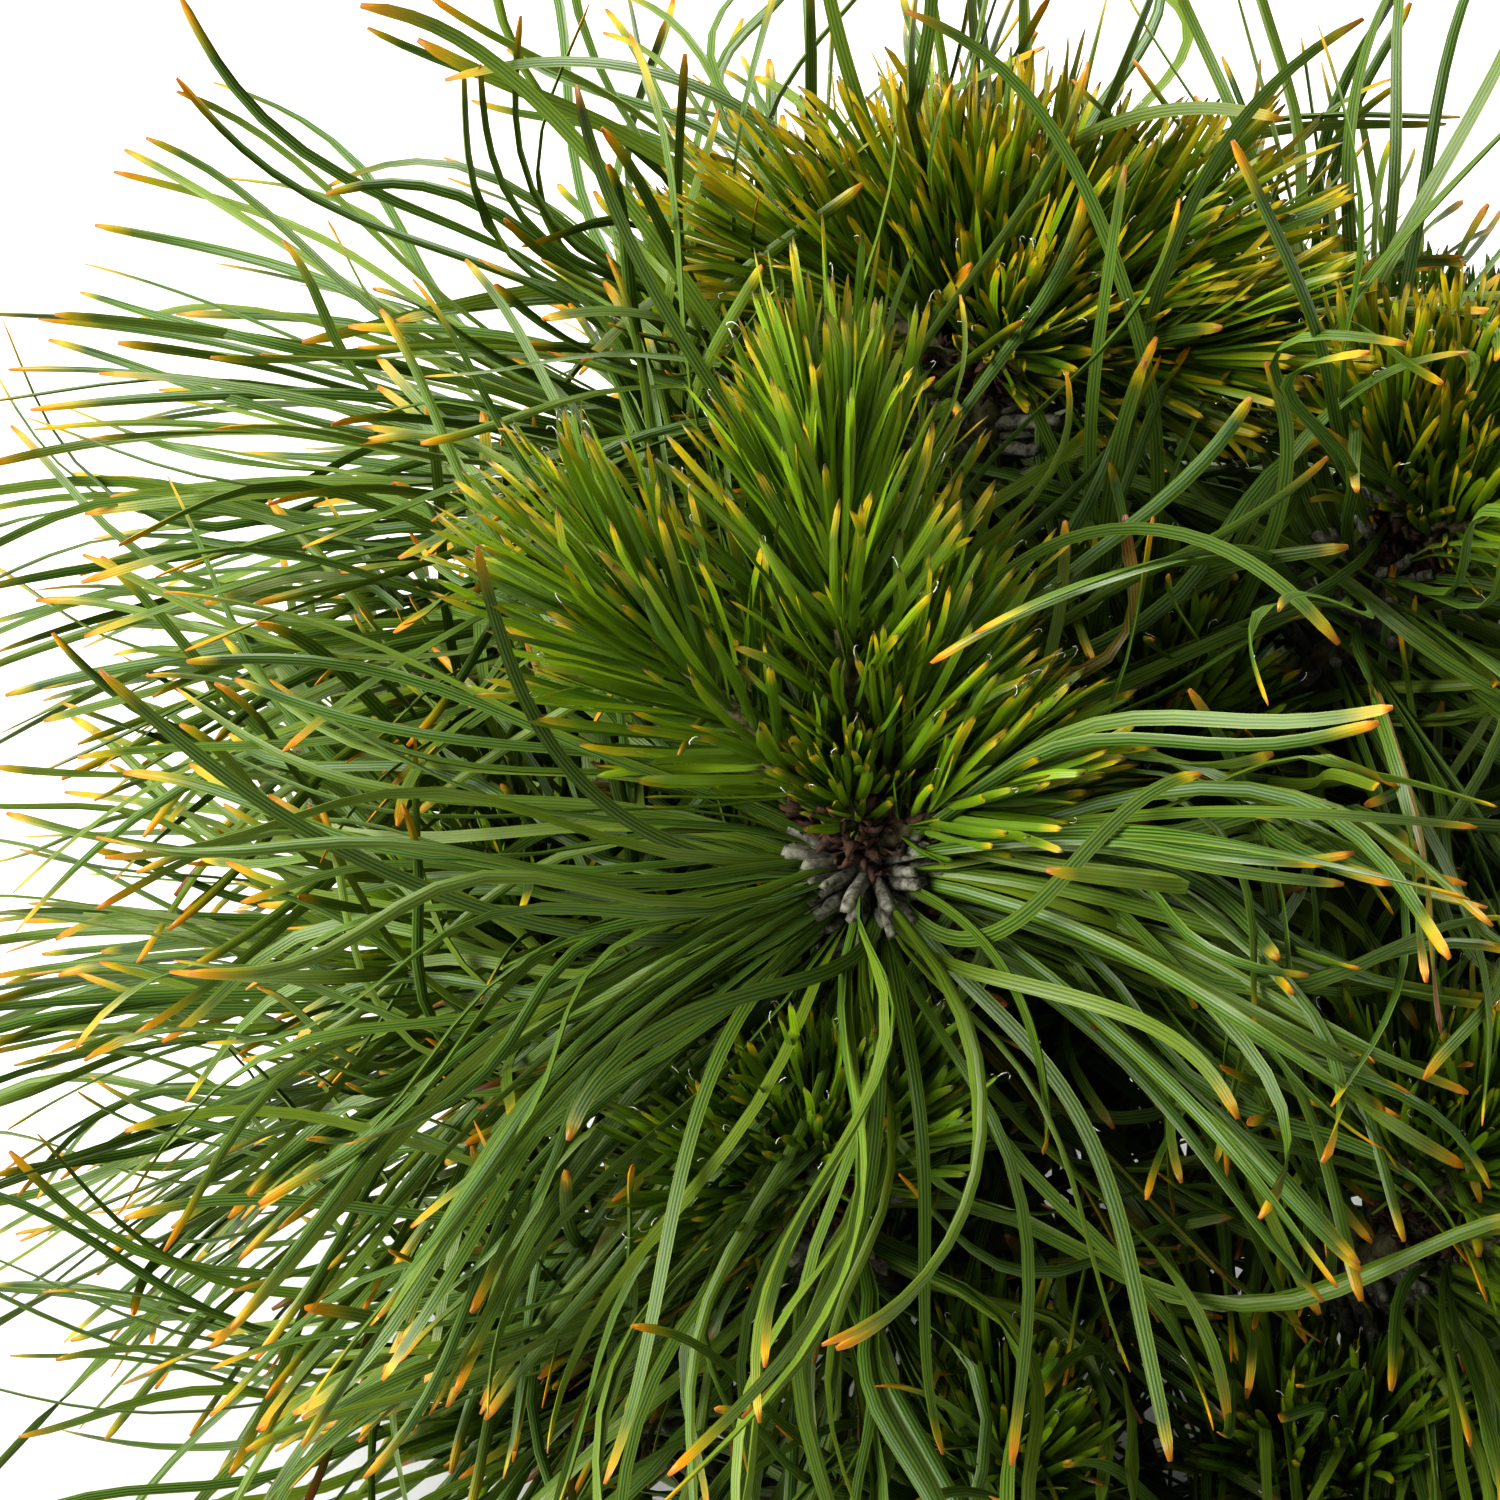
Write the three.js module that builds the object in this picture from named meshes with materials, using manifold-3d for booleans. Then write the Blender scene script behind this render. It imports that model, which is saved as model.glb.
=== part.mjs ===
// Young dwarf mugo pine, rooted in level ground.
// Millimetres, +Z up; the origin is the middle of the flat cut under the trunk.
//
// A short leaning trunk carries boughs in tiers. Each bough ends where a shoot begins: a stem
// ringed with long old needles, and a whorl of candles on it that bristle with short new ones.
// Every shoot with its needles is one solid, and keeps to the space nearest to its own stem.
// A needle stands for a small spray, so it is fewer and wider than life.

import * as THREE from "three";
import { mergeVertices } from "three/addons/utils/BufferGeometryUtils.js";
import Module from "manifold-3d";

const wasm = await Module();
wasm.setup();

// ---- Driving dimensions: millimetres and degrees ----

const GAP = 0.3;                       // left between two solids that meet
const GROUND_CLEARANCE = 4;            // lowest needle above the ground

const TRUNK_SIDES = 10;
const TRUNK_STEPS = 12;
const TRUNK_RADIUS = 6.6;              // just above the root flare
const TRUNK_TOP_RADIUS = 2.9;
const FLARE_RADIUS = 10.5;             // at the ground
const FLARE_HEIGHT = 7;                // over which the flare dies out
const TRUNK_BEND = 6;                  // sideways bow, half way up

const BOUGH_SIDES = 6;
const BOUGH_STEPS = 4;
const BOUGH_RADIUS = 3.5;              // at the trunk
const STEM_RADIUS = 2.3;               // bough tip and shoot stem
const BOUGH_RISE = 30;                 // angle above level where a bough leaves the trunk

const STEM_LENGTH = 27;                // from the bough's tip to the whorl
const LEAN = 7;                        // of a shoot on the trunk's axis, from upright
const LEAN_PER_MM = 0.55;              // added for each millimetre away from the axis

const OLD_NEEDLES = 56;                // on each shoot at most, each stands for a spray
const OLD_LENGTH = [64, 80];
const OLD_WIDTH = 3.1;
const OLD_FLATNESS = 0.5;              // thickness over width
const OLD_SPREAD = [24, 108];          // from the shoot's direction, top row to bottom row
const OLD_ZONE = [2, 22];              // below the whorl
const OLD_SAG = 0.16;                  // drop of the tip, over the length

const CANDLE_LENGTH = [25, 33];
const CANDLE_RADIUS = [1.5, 2.5, 0.9]; // foot, belly and tip
const CANDLE_SPREAD = 44;              // of a side candle, from the shoot's direction
const NEW_NEEDLES = 5;                 // on each candle
const NEW_LENGTH = [12, 20];           // on a weak shoot and on a strong one
const NEW_WIDTH = 2.2;
const NEW_FLATNESS = 0.7;
const NEW_SPREAD = 32;                 // from the candle's direction

const GOLDEN_ANGLE = 137.508;
const OLD_STEPS = 2;                   // facets along a long needle
const NEW_STEPS = 2;
const SUNK = 0.7;                      // depth of a needle's root, over its carrier's radius
const SHORTEST_EDGE = 0.01;            // shorter ones, left where needles cross, are merged
const SPACE_TOP = 12;                  // above the whorl, where the line that keeps space ends
const SHORTER = [1, 0.85, 0.7, 0.55, 0.42]; // shares of the length that are tried in turn

// Each shoot: its name, the place of its whorl, the height at which its bough leaves the trunk
// (the top shoot sits on the trunk itself), how many candles stand round the middle one, the
// direction of the first of them, counted from +X towards +Y, and how strong it has grown.
const SHOOTS = [
  { name: "top", whorl: [-2, 21, 146] },
  { name: "front_left", whorl: [-15, -28, 122], root: 66 },
  { name: "right", whorl: [42, 8, 133], root: 76, ring: 3, first: 60, vigour: 0.75 },
  { name: "middle", whorl: [14, -2, 112], root: 87, ring: 2, first: -60, vigour: 0.4 },
  { name: "back_left", whorl: [-26, 48, 110], root: 70, ring: 2, first: 90, vigour: 0.8 },
  { name: "back", whorl: [18, 58, 98], root: 60, ring: 2, first: 30, vigour: 0.9 },
  { name: "back_right", whorl: [50, 40, 104], root: 46, ring: 2, first: 10, vigour: 0.9 },
  { name: "front_lower", whorl: [-19, -43, 88], root: 42, ring: 2, first: 200, vigour: 0.5 },
  { name: "front_right", whorl: [42, -38, 78], root: 38, ring: 2, first: -40, vigour: 0.7 },
  { name: "left", whorl: [-50, 4, 78], root: 34, ring: 2, first: 170, vigour: 0.35 },
  { name: "right_lower", whorl: [56, -4, 76], root: 30, ring: 2, first: 0, vigour: 0.8 },
  { name: "left_lower", whorl: [-44, -30, 46], root: 16, ring: 2, first: 215, vigour: 0.35 },
  { name: "front_foot", whorl: [0, -52, 46], root: 24, ring: 2, first: -90, vigour: 0.7 },
  { name: "front_right_foot", whorl: [34, -44, 40], root: 14, ring: 2, first: -20, vigour: 0.7 },
  { name: "back_right_lower", whorl: [46, 40, 56], root: 24, ring: 2, first: 40, vigour: 0.8 },
  { name: "back_lower", whorl: [-2, 58, 56], root: 17, ring: 2, first: 90, vigour: 0.8 },
  { name: "back_left_lower", whorl: [-48, 38, 60], root: 28, ring: 2, first: 140, vigour: 0.8 },
];

// The candles of the two leading shoots: azimuth, tilt from upright, length, length of needles.
const LEADERS = {
  top: [
    [172, 56, 20, 21], [135, 34, 18, 21], [90, 20, 15, 21], [35, 34, 17, 21],
    [8, 54, 22, 21], [-12, 74, 24, 19], [-60, 36, 10, 14],
  ],
  front_left: [
    [166, 43, 34, 23], [112, 14, 40, 23], [50, 22, 19, 20], [-170, 16, 10, 9], [-8, 48, 15, 16],
  ],
};

const bark = new THREE.MeshStandardMaterial({ color: 0x5a5347, roughness: 0.9, metalness: 0 });
const foliage = new THREE.MeshStandardMaterial({ color: 0x4d6b2a, roughness: 0.5, metalness: 0 });

// ---- Small helpers ----

const UP = new THREE.Vector3(0, 0, 1);
const radians = THREE.MathUtils.degToRad;
const mix = THREE.MathUtils.lerp;
const vector = (x, y, z) => new THREE.Vector3(x, y, z);

/** A source of numbers from 0 to 1 that is always the same for the same seed. */
function seeded(seed) {
  let state = seed * 2654435761 % 4294967296;
  return () => {
    state = (state * 1664525 + 1013904223) % 4294967296;
    return state / 4294967296;
  };
}

/** The direction that lies `angle` from `axis`, turned `around` it. */
function aside(axis, angle, around) {
  const start = vector(1, 0, 0).addScaledVector(axis, -axis.x).normalize();
  const side = start.applyAxisAngle(axis, radians(around));
  return axis.clone().multiplyScalar(Math.cos(radians(angle)))
    .addScaledVector(side, Math.sin(radians(angle)));
}

/** Turns a closed three.js geometry into a solid that can be joined and cut. */
function toSolid(geometry) {
  geometry.deleteAttribute("normal");
  geometry.deleteAttribute("uv");
  const merged = mergeVertices(geometry, 1e-4);
  return new wasm.Manifold(new wasm.Mesh({
    numProp: 3,
    vertProperties: new Float32Array(merged.attributes.position.array),
    triVerts: new Uint32Array(merged.index.array),
  }));
}

/** Turns a solid back into a named mesh. */
function toMesh(name, solid, material) {
  const { vertProperties, triVerts } = solid.getMesh();
  const geometry = new THREE.BufferGeometry();
  geometry.setAttribute("position", new THREE.BufferAttribute(vertProperties, 3));
  geometry.setIndex(new THREE.BufferAttribute(triVerts, 1));
  geometry.computeVertexNormals();
  const mesh = new THREE.Mesh(geometry, material);
  mesh.name = name;
  return mesh;
}

/** Bends a cylinder or cone of radius 1 and height 1 along a curve. */
function sweep(unit, curve, radiusAt, flatness, across) {
  const place = unit.attributes.position;
  for (let i = 0; i < place.count; i += 1) {
    const t = THREE.MathUtils.clamp(place.getY(i) + 0.5, 0, 1);
    const tangent = curve.getTangent(t);
    const side = across.clone().addScaledVector(tangent, -across.dot(tangent)).normalize();
    const face = side.clone().cross(tangent);
    const point = curve.getPoint(t)
      .addScaledVector(side, place.getX(i) * radiusAt(t))
      .addScaledVector(face, place.getZ(i) * radiusAt(t) * flatness);
    place.setXYZ(i, point.x, point.y, point.z);
  }
  return toSolid(unit);
}

// ---- Trunk and boughs ----

const top = SHOOTS[0];
const trunkTop = vector(top.whorl[0], top.whorl[1], top.whorl[2] - STEM_LENGTH);
const trunkCurve = new THREE.CubicBezierCurve3(
  vector(0, 0, 0),
  vector(TRUNK_BEND, -TRUNK_BEND / 2, trunkTop.z / 3),
  vector(trunkTop.x, trunkTop.y, trunkTop.z * 2 / 3),
  trunkTop,
);

/** The trunk's radius at a share of its length, with its root flare. */
function trunkRadius(t) {
  const flare = (FLARE_RADIUS - TRUNK_RADIUS) * Math.exp(-t * trunkTop.z / FLARE_HEIGHT);
  return mix(TRUNK_RADIUS, TRUNK_TOP_RADIUS, t) + flare;
}

/** The trunk with its level rings, or a copy larger by `margin` for seating a bough on it. */
function trunkSolid(margin) {
  const unit = new THREE.CylinderGeometry(1, 1, 1, TRUNK_SIDES, TRUNK_STEPS);
  const place = unit.attributes.position;
  for (let i = 0; i < place.count; i += 1) {
    const t = THREE.MathUtils.clamp(place.getY(i) + 0.5, 0, 1);
    const centre = trunkCurve.getPoint(t);
    const radius = trunkRadius(t) + margin;
    place.setXYZ(i, centre.x + place.getX(i) * radius, centre.y - place.getZ(i) * radius, centre.z);
  }
  return toSolid(unit);
}

/** The point on the trunk's middle line at a height. */
function trunkPoint(height) {
  let low = 0;
  let high = 1;
  for (let i = 0; i < 20; i += 1) {
    const middle = (low + high) / 2;
    if (trunkCurve.getPoint(middle).z < height) low = middle;
    else high = middle;
  }
  return trunkCurve.getPoint(low);
}

/** Where a shoot stands: its whorl, direction, bough's tip and stem's foot. */
function placeShoot(shoot) {
  const whorl = vector(...shoot.whorl);
  const outward = vector(whorl.x, whorl.y, 0);
  const lean = shoot.root ? LEAN + LEAN_PER_MM * outward.length() : 0;
  const direction = outward.normalize().multiplyScalar(Math.sin(radians(lean)));
  direction.z = Math.cos(radians(lean));
  const tip = whorl.clone().addScaledVector(direction, -STEM_LENGTH);
  const foot = tip.clone().addScaledVector(direction, GAP);  // the stem's, clear of the tip
  return { ...shoot, whorl, direction, tip, foot };
}

/** A bough's middle line, out of the trunk and up to its shoot. */
function boughCurve(shoot) {
  const start = trunkPoint(shoot.root);
  const outward = shoot.tip.clone().sub(start).setZ(0);
  const reach = start.distanceTo(shoot.tip) * 0.4;
  const leaving = outward.normalize().multiplyScalar(Math.cos(radians(BOUGH_RISE)));
  leaving.z = Math.sin(radians(BOUGH_RISE));
  return new THREE.CubicBezierCurve3(
    start,
    start.clone().addScaledVector(leaving, reach),
    shoot.tip.clone().addScaledVector(shoot.direction, -reach),
    shoot.tip,
  );
}

/** One bough: a single tapering limb, seated on the trunk. */
function boughSolid(shoot, seat) {
  const unit = new THREE.CylinderGeometry(1, 1, 1, BOUGH_SIDES, BOUGH_STEPS);
  const across = shoot.tip.clone().sub(shoot.curve.v0).cross(UP).normalize();
  return sweep(unit, shoot.curve, boughRadius, 1, across).subtract(seat);
}

function boughRadius(t) {
  return mix(BOUGH_RADIUS, STEM_RADIUS, t);
}

// ---- The space that each shoot keeps ----

const shoots = SHOOTS.map(placeShoot);
for (const shoot of shoots.slice(1)) shoot.curve = boughCurve(shoot);

/** Balls along every limb, which no needle may touch. */
const limbBalls = shoots.slice(1).flatMap((shoot) => {
  const balls = [];
  for (let t = 0; t <= 1; t += 1 / 24) {
    balls.push({ centre: shoot.curve.getPoint(t), radius: boughRadius(t) });
  }
  return balls;
});
for (let t = 0; t <= 1; t += 1 / 48) {
  limbBalls.push({ centre: trunkCurve.getPoint(t), radius: trunkRadius(t) });
}

/** How far a point is from a shoot's stem and the foot of its middle candle. */
function distanceToShoot(point, shoot) {
  const axis = new THREE.Line3(
    shoot.tip, shoot.whorl.clone().addScaledVector(shoot.direction, SPACE_TOP));
  return axis.closestPointToPoint(point, true, vector(0, 0, 0)).distanceTo(point);
}

/** Whether a needle or candle along a curve stays in its shoot's space, clear of the limbs. */
function fits(curve, halfWidth, shoot) {
  for (let i = 1; i <= 12; i += 1) {
    const point = curve.getPoint(i / 12);
    if (point.z < GROUND_CLEARANCE + halfWidth) return false;
    const own = distanceToShoot(point, shoot) + 2 * halfWidth + GAP;
    if (shoots.some((other) => other !== shoot && distanceToShoot(point, other) < own)) return false;
    const reach = halfWidth + 2 * GAP;
    if (limbBalls.some((ball) => ball.centre.distanceTo(point) < ball.radius + reach)) return false;
  }
  return true;
}

// ---- Needles and candles ----

/** The middle line of a needle that grows from a point, bows over and hangs its tip. */
function needleCurve({ root, direction, length, sag }, share) {
  const middle = root.clone().addScaledVector(direction, length * share / 2);
  const tip = root.clone().addScaledVector(direction, length * share);
  tip.z -= sag * length * share;
  return new THREE.QuadraticBezierCurve3(root, middle, tip);
}

/** A three-sided needle that comes to a point at both ends; its root's point is sunk. */
function needleSolid(curve, width, flatness, steps) {
  const across = curve.v1.clone().sub(curve.v0).cross(UP).normalize();
  const unit = new THREE.SphereGeometry(1, 3, steps).scale(1, 0.5, 1);
  return sweep(unit, curve, () => width / 2, flatness, across);
}

/** The long needles all round the stem below the whorl, each as long as its space allows. */
function oldNeedles(shoot, random) {
  const needles = [];
  for (let i = 0; i < OLD_NEEDLES; i += 1) {
    const share = i / (OLD_NEEDLES - 1);
    const around = i * GOLDEN_ANGLE;
    const plan = {
      root: shoot.whorl.clone().addScaledVector(shoot.direction, -mix(...OLD_ZONE, share))
        .addScaledVector(aside(shoot.direction, 90, around), STEM_RADIUS * (1 - SUNK)),
      direction: aside(shoot.direction, mix(...OLD_SPREAD, share), around),
      length: mix(...OLD_LENGTH, random()),
      sag: OLD_SAG * (0.5 + random()),
    };
    const curves = SHORTER.map((part) => needleCurve(plan, part));
    const longest = curves.find((curve) => fits(curve, OLD_WIDTH / 2, shoot));
    if (longest) needles.push(needleSolid(longest, OLD_WIDTH, OLD_FLATNESS, OLD_STEPS));
  }
  return needles;
}

/** A shoot's candles: one in the middle and a ring round it, or as a leader's list gives them. */
function candlesOf(shoot, random) {
  if (shoot.name in LEADERS) {
    return LEADERS[shoot.name].map(([azimuth, tilt, length, needle]) => {
      const level = vector(Math.cos(radians(azimuth)), Math.sin(radians(azimuth)), 0);
      const direction = level.multiplyScalar(Math.sin(radians(tilt)));
      direction.z = Math.cos(radians(tilt));
      return { direction, length, needle };
    });
  }
  const directions = [shoot.direction.clone().lerp(UP, 0.5).normalize()];
  for (let i = 0; i < shoot.ring; i += 1) {
    const side = aside(shoot.direction, CANDLE_SPREAD, shoot.first + i * 360 / shoot.ring);
    directions.push(side.lerp(UP, 0.25).normalize());
  }
  return directions.map((direction) => ({
    direction,
    length: mix(...CANDLE_LENGTH, random()) * shoot.vigour,
    needle: mix(...NEW_LENGTH, shoot.vigour),
  }));
}

/** One candle: a slim core, and short needles that stand out of it all the way up. */
function candle(shoot, { direction, length, needle }) {
  const foot = shoot.whorl;
  const end = foot.clone().addScaledVector(direction, length);
  const curve = new THREE.LineCurve3(foot, end);
  if (!fits(curve, CANDLE_RADIUS[1], shoot)) return [];
  const [low, belly, high] = CANDLE_RADIUS;
  const radiusAt = (t) => (t < 0.5 ? mix(low, belly, t * 2) : mix(belly, high, t * 2 - 1));
  const unit = new THREE.CylinderGeometry(1, 1, 1, 5, 2);
  const across = aside(direction, 90, 0);
  const pieces = [sweep(unit, curve, radiusAt, 1, across)];
  for (let i = 0; i < NEW_NEEDLES; i += 1) {
    const share = (i + 0.5) / NEW_NEEDLES;
    const around = i * GOLDEN_ANGLE;
    const root = foot.clone().lerp(end, mix(0.2, 0.9, share))
      .addScaledVector(aside(direction, 90, around), belly * (1 - SUNK));
    const out = aside(direction, NEW_SPREAD * (1.2 - share * 0.7), around);
    const line = needleCurve({ root, direction: out, length: needle, sag: 0 }, 1);
    if (fits(line, NEW_WIDTH / 2, shoot)) {
      pieces.push(needleSolid(line, NEW_WIDTH, NEW_FLATNESS, NEW_STEPS));
    }
  }
  return pieces;
}

/** A shoot with its candles and needles, fused into one solid. */
function shootSolid(shoot, seed) {
  const random = seeded(seed);
  const crown = shoot.whorl.clone().addScaledVector(shoot.direction, 2);
  const stem = new THREE.CylinderGeometry(1, 1, 1, BOUGH_SIDES, 1);
  const across = aside(shoot.direction, 90, 0);
  const pieces = [
    sweep(stem, new THREE.LineCurve3(shoot.foot, crown), () => STEM_RADIUS, 1, across),
    ...candlesOf(shoot, random).flatMap((plan) => candle(shoot, plan)),
    ...oldNeedles(shoot, random),
  ];
  return wasm.Manifold.union(pieces).simplify(SHORTEST_EDGE);
}

// ---- The plant ----

const mugoPine = new THREE.Group();
mugoPine.name = "mugo_pine";

const limbs = new THREE.Group();
limbs.name = "limbs";
limbs.add(toMesh("trunk", trunkSolid(0), bark));
const seat = trunkSolid(GAP);
for (const shoot of shoots.slice(1)) {
  limbs.add(toMesh(`bough_${shoot.name}`, boughSolid(shoot, seat), bark));
}

const masses = new THREE.Group();
masses.name = "masses";
shoots.forEach((shoot, index) => {
  masses.add(toMesh(`foliage_${shoot.name}`, shootSolid(shoot, index + 1), foliage));
});

mugoPine.add(limbs, masses);
export default mugoPine;
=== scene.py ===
# %% [markdown]
# # A young dwarf mugo pine
#
# A mugo pine is a shrubby conifer. Its trunk carries boughs in tiers, and each bough ends in a
# shoot. Last year's needles stand round the shoot in pairs, each pair in a papery sheath, and a
# whorl of upright candles grows from its end, bristling with this year's short needles.
#
# This lesson dresses a fixed frame: plain solids for the trunk, the boughs and the masses of
# foliage. Every piece made here grows by the same rule as those solids, only finer.

# %% Load the frame
import math

import bpy
import numpy as np
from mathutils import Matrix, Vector


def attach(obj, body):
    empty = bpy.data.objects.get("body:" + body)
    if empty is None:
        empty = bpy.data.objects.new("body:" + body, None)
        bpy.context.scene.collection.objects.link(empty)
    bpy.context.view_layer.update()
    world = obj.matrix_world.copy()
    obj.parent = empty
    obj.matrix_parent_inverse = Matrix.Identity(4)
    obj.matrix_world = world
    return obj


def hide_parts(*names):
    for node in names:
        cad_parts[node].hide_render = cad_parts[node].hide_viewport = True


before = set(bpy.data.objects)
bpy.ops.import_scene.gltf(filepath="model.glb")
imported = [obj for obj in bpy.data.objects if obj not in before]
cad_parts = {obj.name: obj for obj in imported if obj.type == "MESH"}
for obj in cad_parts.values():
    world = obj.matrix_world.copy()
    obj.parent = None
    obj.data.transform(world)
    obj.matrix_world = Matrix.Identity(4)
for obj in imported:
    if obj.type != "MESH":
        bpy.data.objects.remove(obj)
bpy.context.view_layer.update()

print("solids in the frame:", len(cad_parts))

# %% [markdown]
# ## Small tools
#
# Colours are picked as sRGB hex values, the way a colour chart gives them, and Blender's shaders
# want linear light, so one function turns one into the other. Another adds a node with its
# settings and links, which keeps each material down to a few readable lines.

# %% Colours, objects, materials and nodes
MM = 0.001  # Blender works in metres, the plant is easier to think of in millimetres
UP = np.array([0.0, 0.0, 1.0])
GOLDEN_ANGLE = math.radians(137.508)  # the turn from one needle to the next round a shoot


def linear(hex_colour):
    """An sRGB hex colour such as "#3f5a22" as linear red, green and blue."""
    parts = np.array([int(hex_colour[i:i + 2], 16) / 255 for i in (1, 3, 5)])
    return np.where(parts <= 0.04045, parts / 12.92, ((parts + 0.055) / 1.055) ** 2.4)


def add_node(tree, kind, settings=(), inputs=()):
    """Adds a node. A value given as an input is set on the socket, and a socket is linked to it."""
    node = tree.nodes.new(kind)
    for name, value in dict(settings).items():
        setattr(node, name, value)
    for name, value in dict(inputs).items():
        if isinstance(value, bpy.types.NodeSocket):
            tree.links.new(value, node.inputs[name])
        else:
            node.inputs[name].default_value = value
    return node


def new_object(name, data):
    """An object in the scene."""
    thing = bpy.data.objects.new(name, data)
    bpy.context.scene.collection.objects.link(thing)
    return thing


def new_material(name):
    """A material with its tree of nodes and the shader in it."""
    material = bpy.data.materials.new(name)
    material.use_nodes = True
    return material, material.node_tree, material.node_tree.nodes["Principled BSDF"]


print("golden angle in degrees:", round(math.degrees(GOLDEN_ANGLE), 1))

# %% [markdown]
# The rest of the plant is geometry: needles stand at angles from their shoot's axis and are
# turned about it. NumPy does this for thousands of directions at once.

# %% Vectors
def unit(vectors):
    """Vectors cut to a length of 1."""
    return vectors / np.maximum(np.linalg.norm(vectors, axis=-1, keepdims=True), 1e-12)


def mix(low, high, share):
    """From low at a share of 0 to high at a share of 1."""
    return low + (high - low) * share


def smooth_step(low, high, x):
    """0 below low, 1 above high, and a soft slope between."""
    t = np.clip((x - low) / (high - low), 0, 1)
    return t * t * (3 - 2 * t)


def turned(vectors, axes, angles):
    """Vectors turned about unit axes by angles in radians."""
    cosine, sine = np.cos(angles)[..., None], np.sin(angles)[..., None]
    along = np.sum(vectors * axes, axis=-1, keepdims=True) * axes
    return vectors * cosine + np.cross(axes, vectors) * sine + along * (1 - cosine)


def aside(axes, angles, around):
    """Directions that lie at angles from the axes, each turned around its axis."""
    first = np.array([1.0, 0.0, 0.0]) - axes * axes[..., :1]
    side = turned(unit(first), axes, around)
    return axes * np.cos(angles)[..., None] + side * np.sin(angles)[..., None]


def sideways(axes, around):
    """Directions at right angles to the axes, each turned around its axis."""
    return aside(axes, np.full(len(axes), math.pi / 2), around)


print("upright and turned to a side:", sideways(UP[None], np.zeros(1)).round(3).tolist())

# %% [markdown]
# ## Camera, floor and light
#
# The plant is looked at from the front and well above, close enough to fill the view with the
# upper crown. A long lens from half a metre keeps the needles in proportion. The camera aims at
# the front shoot's whorl and a little past it, so the whorl sits right of the middle.

# %% Camera
FRONT_WHORL = np.array([-15.0, -28.0, 122.0]) * MM  # of the front left shoot
CAMERA_HEIGHT = math.radians(38)   # above level
CAMERA_DISTANCE = 500 * MM
VIEW_WIDTH = 150 * MM              # what the frame takes in at the front whorl
SENSOR = 36.0                      # millimetres, as Blender's cameras have it
CAMERA_CLIP = 10 * MM              # nothing nearer than this is drawn
WHORL_RIGHT = 11.5 * MM            # the whorl's place in the view, from its middle
WHORL_BELOW = 10.0 * MM

looking = np.array([0.0, math.cos(CAMERA_HEIGHT), -math.sin(CAMERA_HEIGHT)])
view_right = np.array([1.0, 0.0, 0.0])
view_up = np.cross(view_right, looking)
aim = FRONT_WHORL - view_right * WHORL_RIGHT + view_up * WHORL_BELOW

camera = new_object("camera", bpy.data.cameras.new("camera"))
camera.data.sensor_width = SENSOR
camera.data.lens = SENSOR * CAMERA_DISTANCE / VIEW_WIDTH
camera.data.clip_start = CAMERA_CLIP
camera.location = Vector(aim - looking * CAMERA_DISTANCE)
camera.rotation_euler = Vector(looking).to_track_quat("-Z", "Y").to_euler()
bpy.context.scene.camera = camera
print("lens in millimetres:", round(camera.data.lens))

# %% [markdown]
# The floor is a pale sheet that takes soft shadows. Four wide soft boxes light the crown, as in a
# studio. The strongest stands at the left front, and the next one behind at the right, so that
# the needles' edges catch it. A weaker one behind at the left and a faint fill at the right
# front open the shadows a little. The surround adds next to nothing, so the crown's inside
# stays deep.

# %% Floor and light
FLOOR_SIZE = 6.0            # metres, so that its edge is never in view
LIT_PLACE = (0, 0, 0.1)     # metres, in the middle of the crown
SOFT_BOXES = [
    # name, place and side in metres, power in watts
    ("key", (-1.15, -0.4, 0.8), 0.9, 42),
    ("fill", (0.9, -0.9, 0.9), 0.8, 3.5),
    ("rim", (0.5, 0.9, 1.2), 0.8, 36),
    ("rim_left", (-0.8, 0.8, 0.9), 0.9, 10),
]
SURROUND_COLOUR, SURROUND_STRENGTH = "#f9fcff", 0.08

half = FLOOR_SIZE / 2
floor_mesh = bpy.data.meshes.new("floor")
floor_mesh.from_pydata([(-half, -half, 0), (half, -half, 0), (half, half, 0), (-half, half, 0)],
                       [], [(0, 1, 2, 3)])
floor = new_object("floor", floor_mesh)

# Uncoated paper: it has no sheen, so the eye sees only the plant's shadow on it.
paper, _, paper_shader = new_material("matt_white_paper")
paper_shader.inputs["Base Color"].default_value = (*linear("#d6d6d4"), 1)
paper_shader.inputs["Roughness"].default_value = 0.9
floor_mesh.materials.append(paper)


def soft_box(name, place, side, power):
    """A square area light that faces the crown."""
    light = bpy.data.lights.new(name, "AREA")
    light.size = side
    light.energy = power
    lamp = new_object(name, light)
    lamp.location = place
    lamp.rotation_euler = (Vector(LIT_PLACE) - Vector(place)).to_track_quat("-Z", "Y").to_euler()


for row in SOFT_BOXES:
    soft_box(*row)

world = bpy.data.worlds.new("studio")
world.use_nodes = True
surround = world.node_tree.nodes["Background"]
surround.inputs["Color"].default_value = (*linear(SURROUND_COLOUR), 1)
surround.inputs["Strength"].default_value = SURROUND_STRENGTH
bpy.context.scene.world = world
bpy.context.scene.view_settings.view_transform = "Standard"
bpy.context.scene.view_settings.look = "Medium High Contrast"
print("soft boxes:", [row[0] for row in SOFT_BOXES])

# %% [markdown]
# ## Where the shoots stand
#
# The solids were laid out from a short list: each shoot's whorl, the height at which its bough
# leaves the trunk, the number of candles round the middle one, the first one's direction, and a
# vigour that sets how long the candles grow. The same list and the same few angles place
# everything that follows, so the fine pieces land where the solids are. Only the right shoot's
# candles are shorter here.

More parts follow.
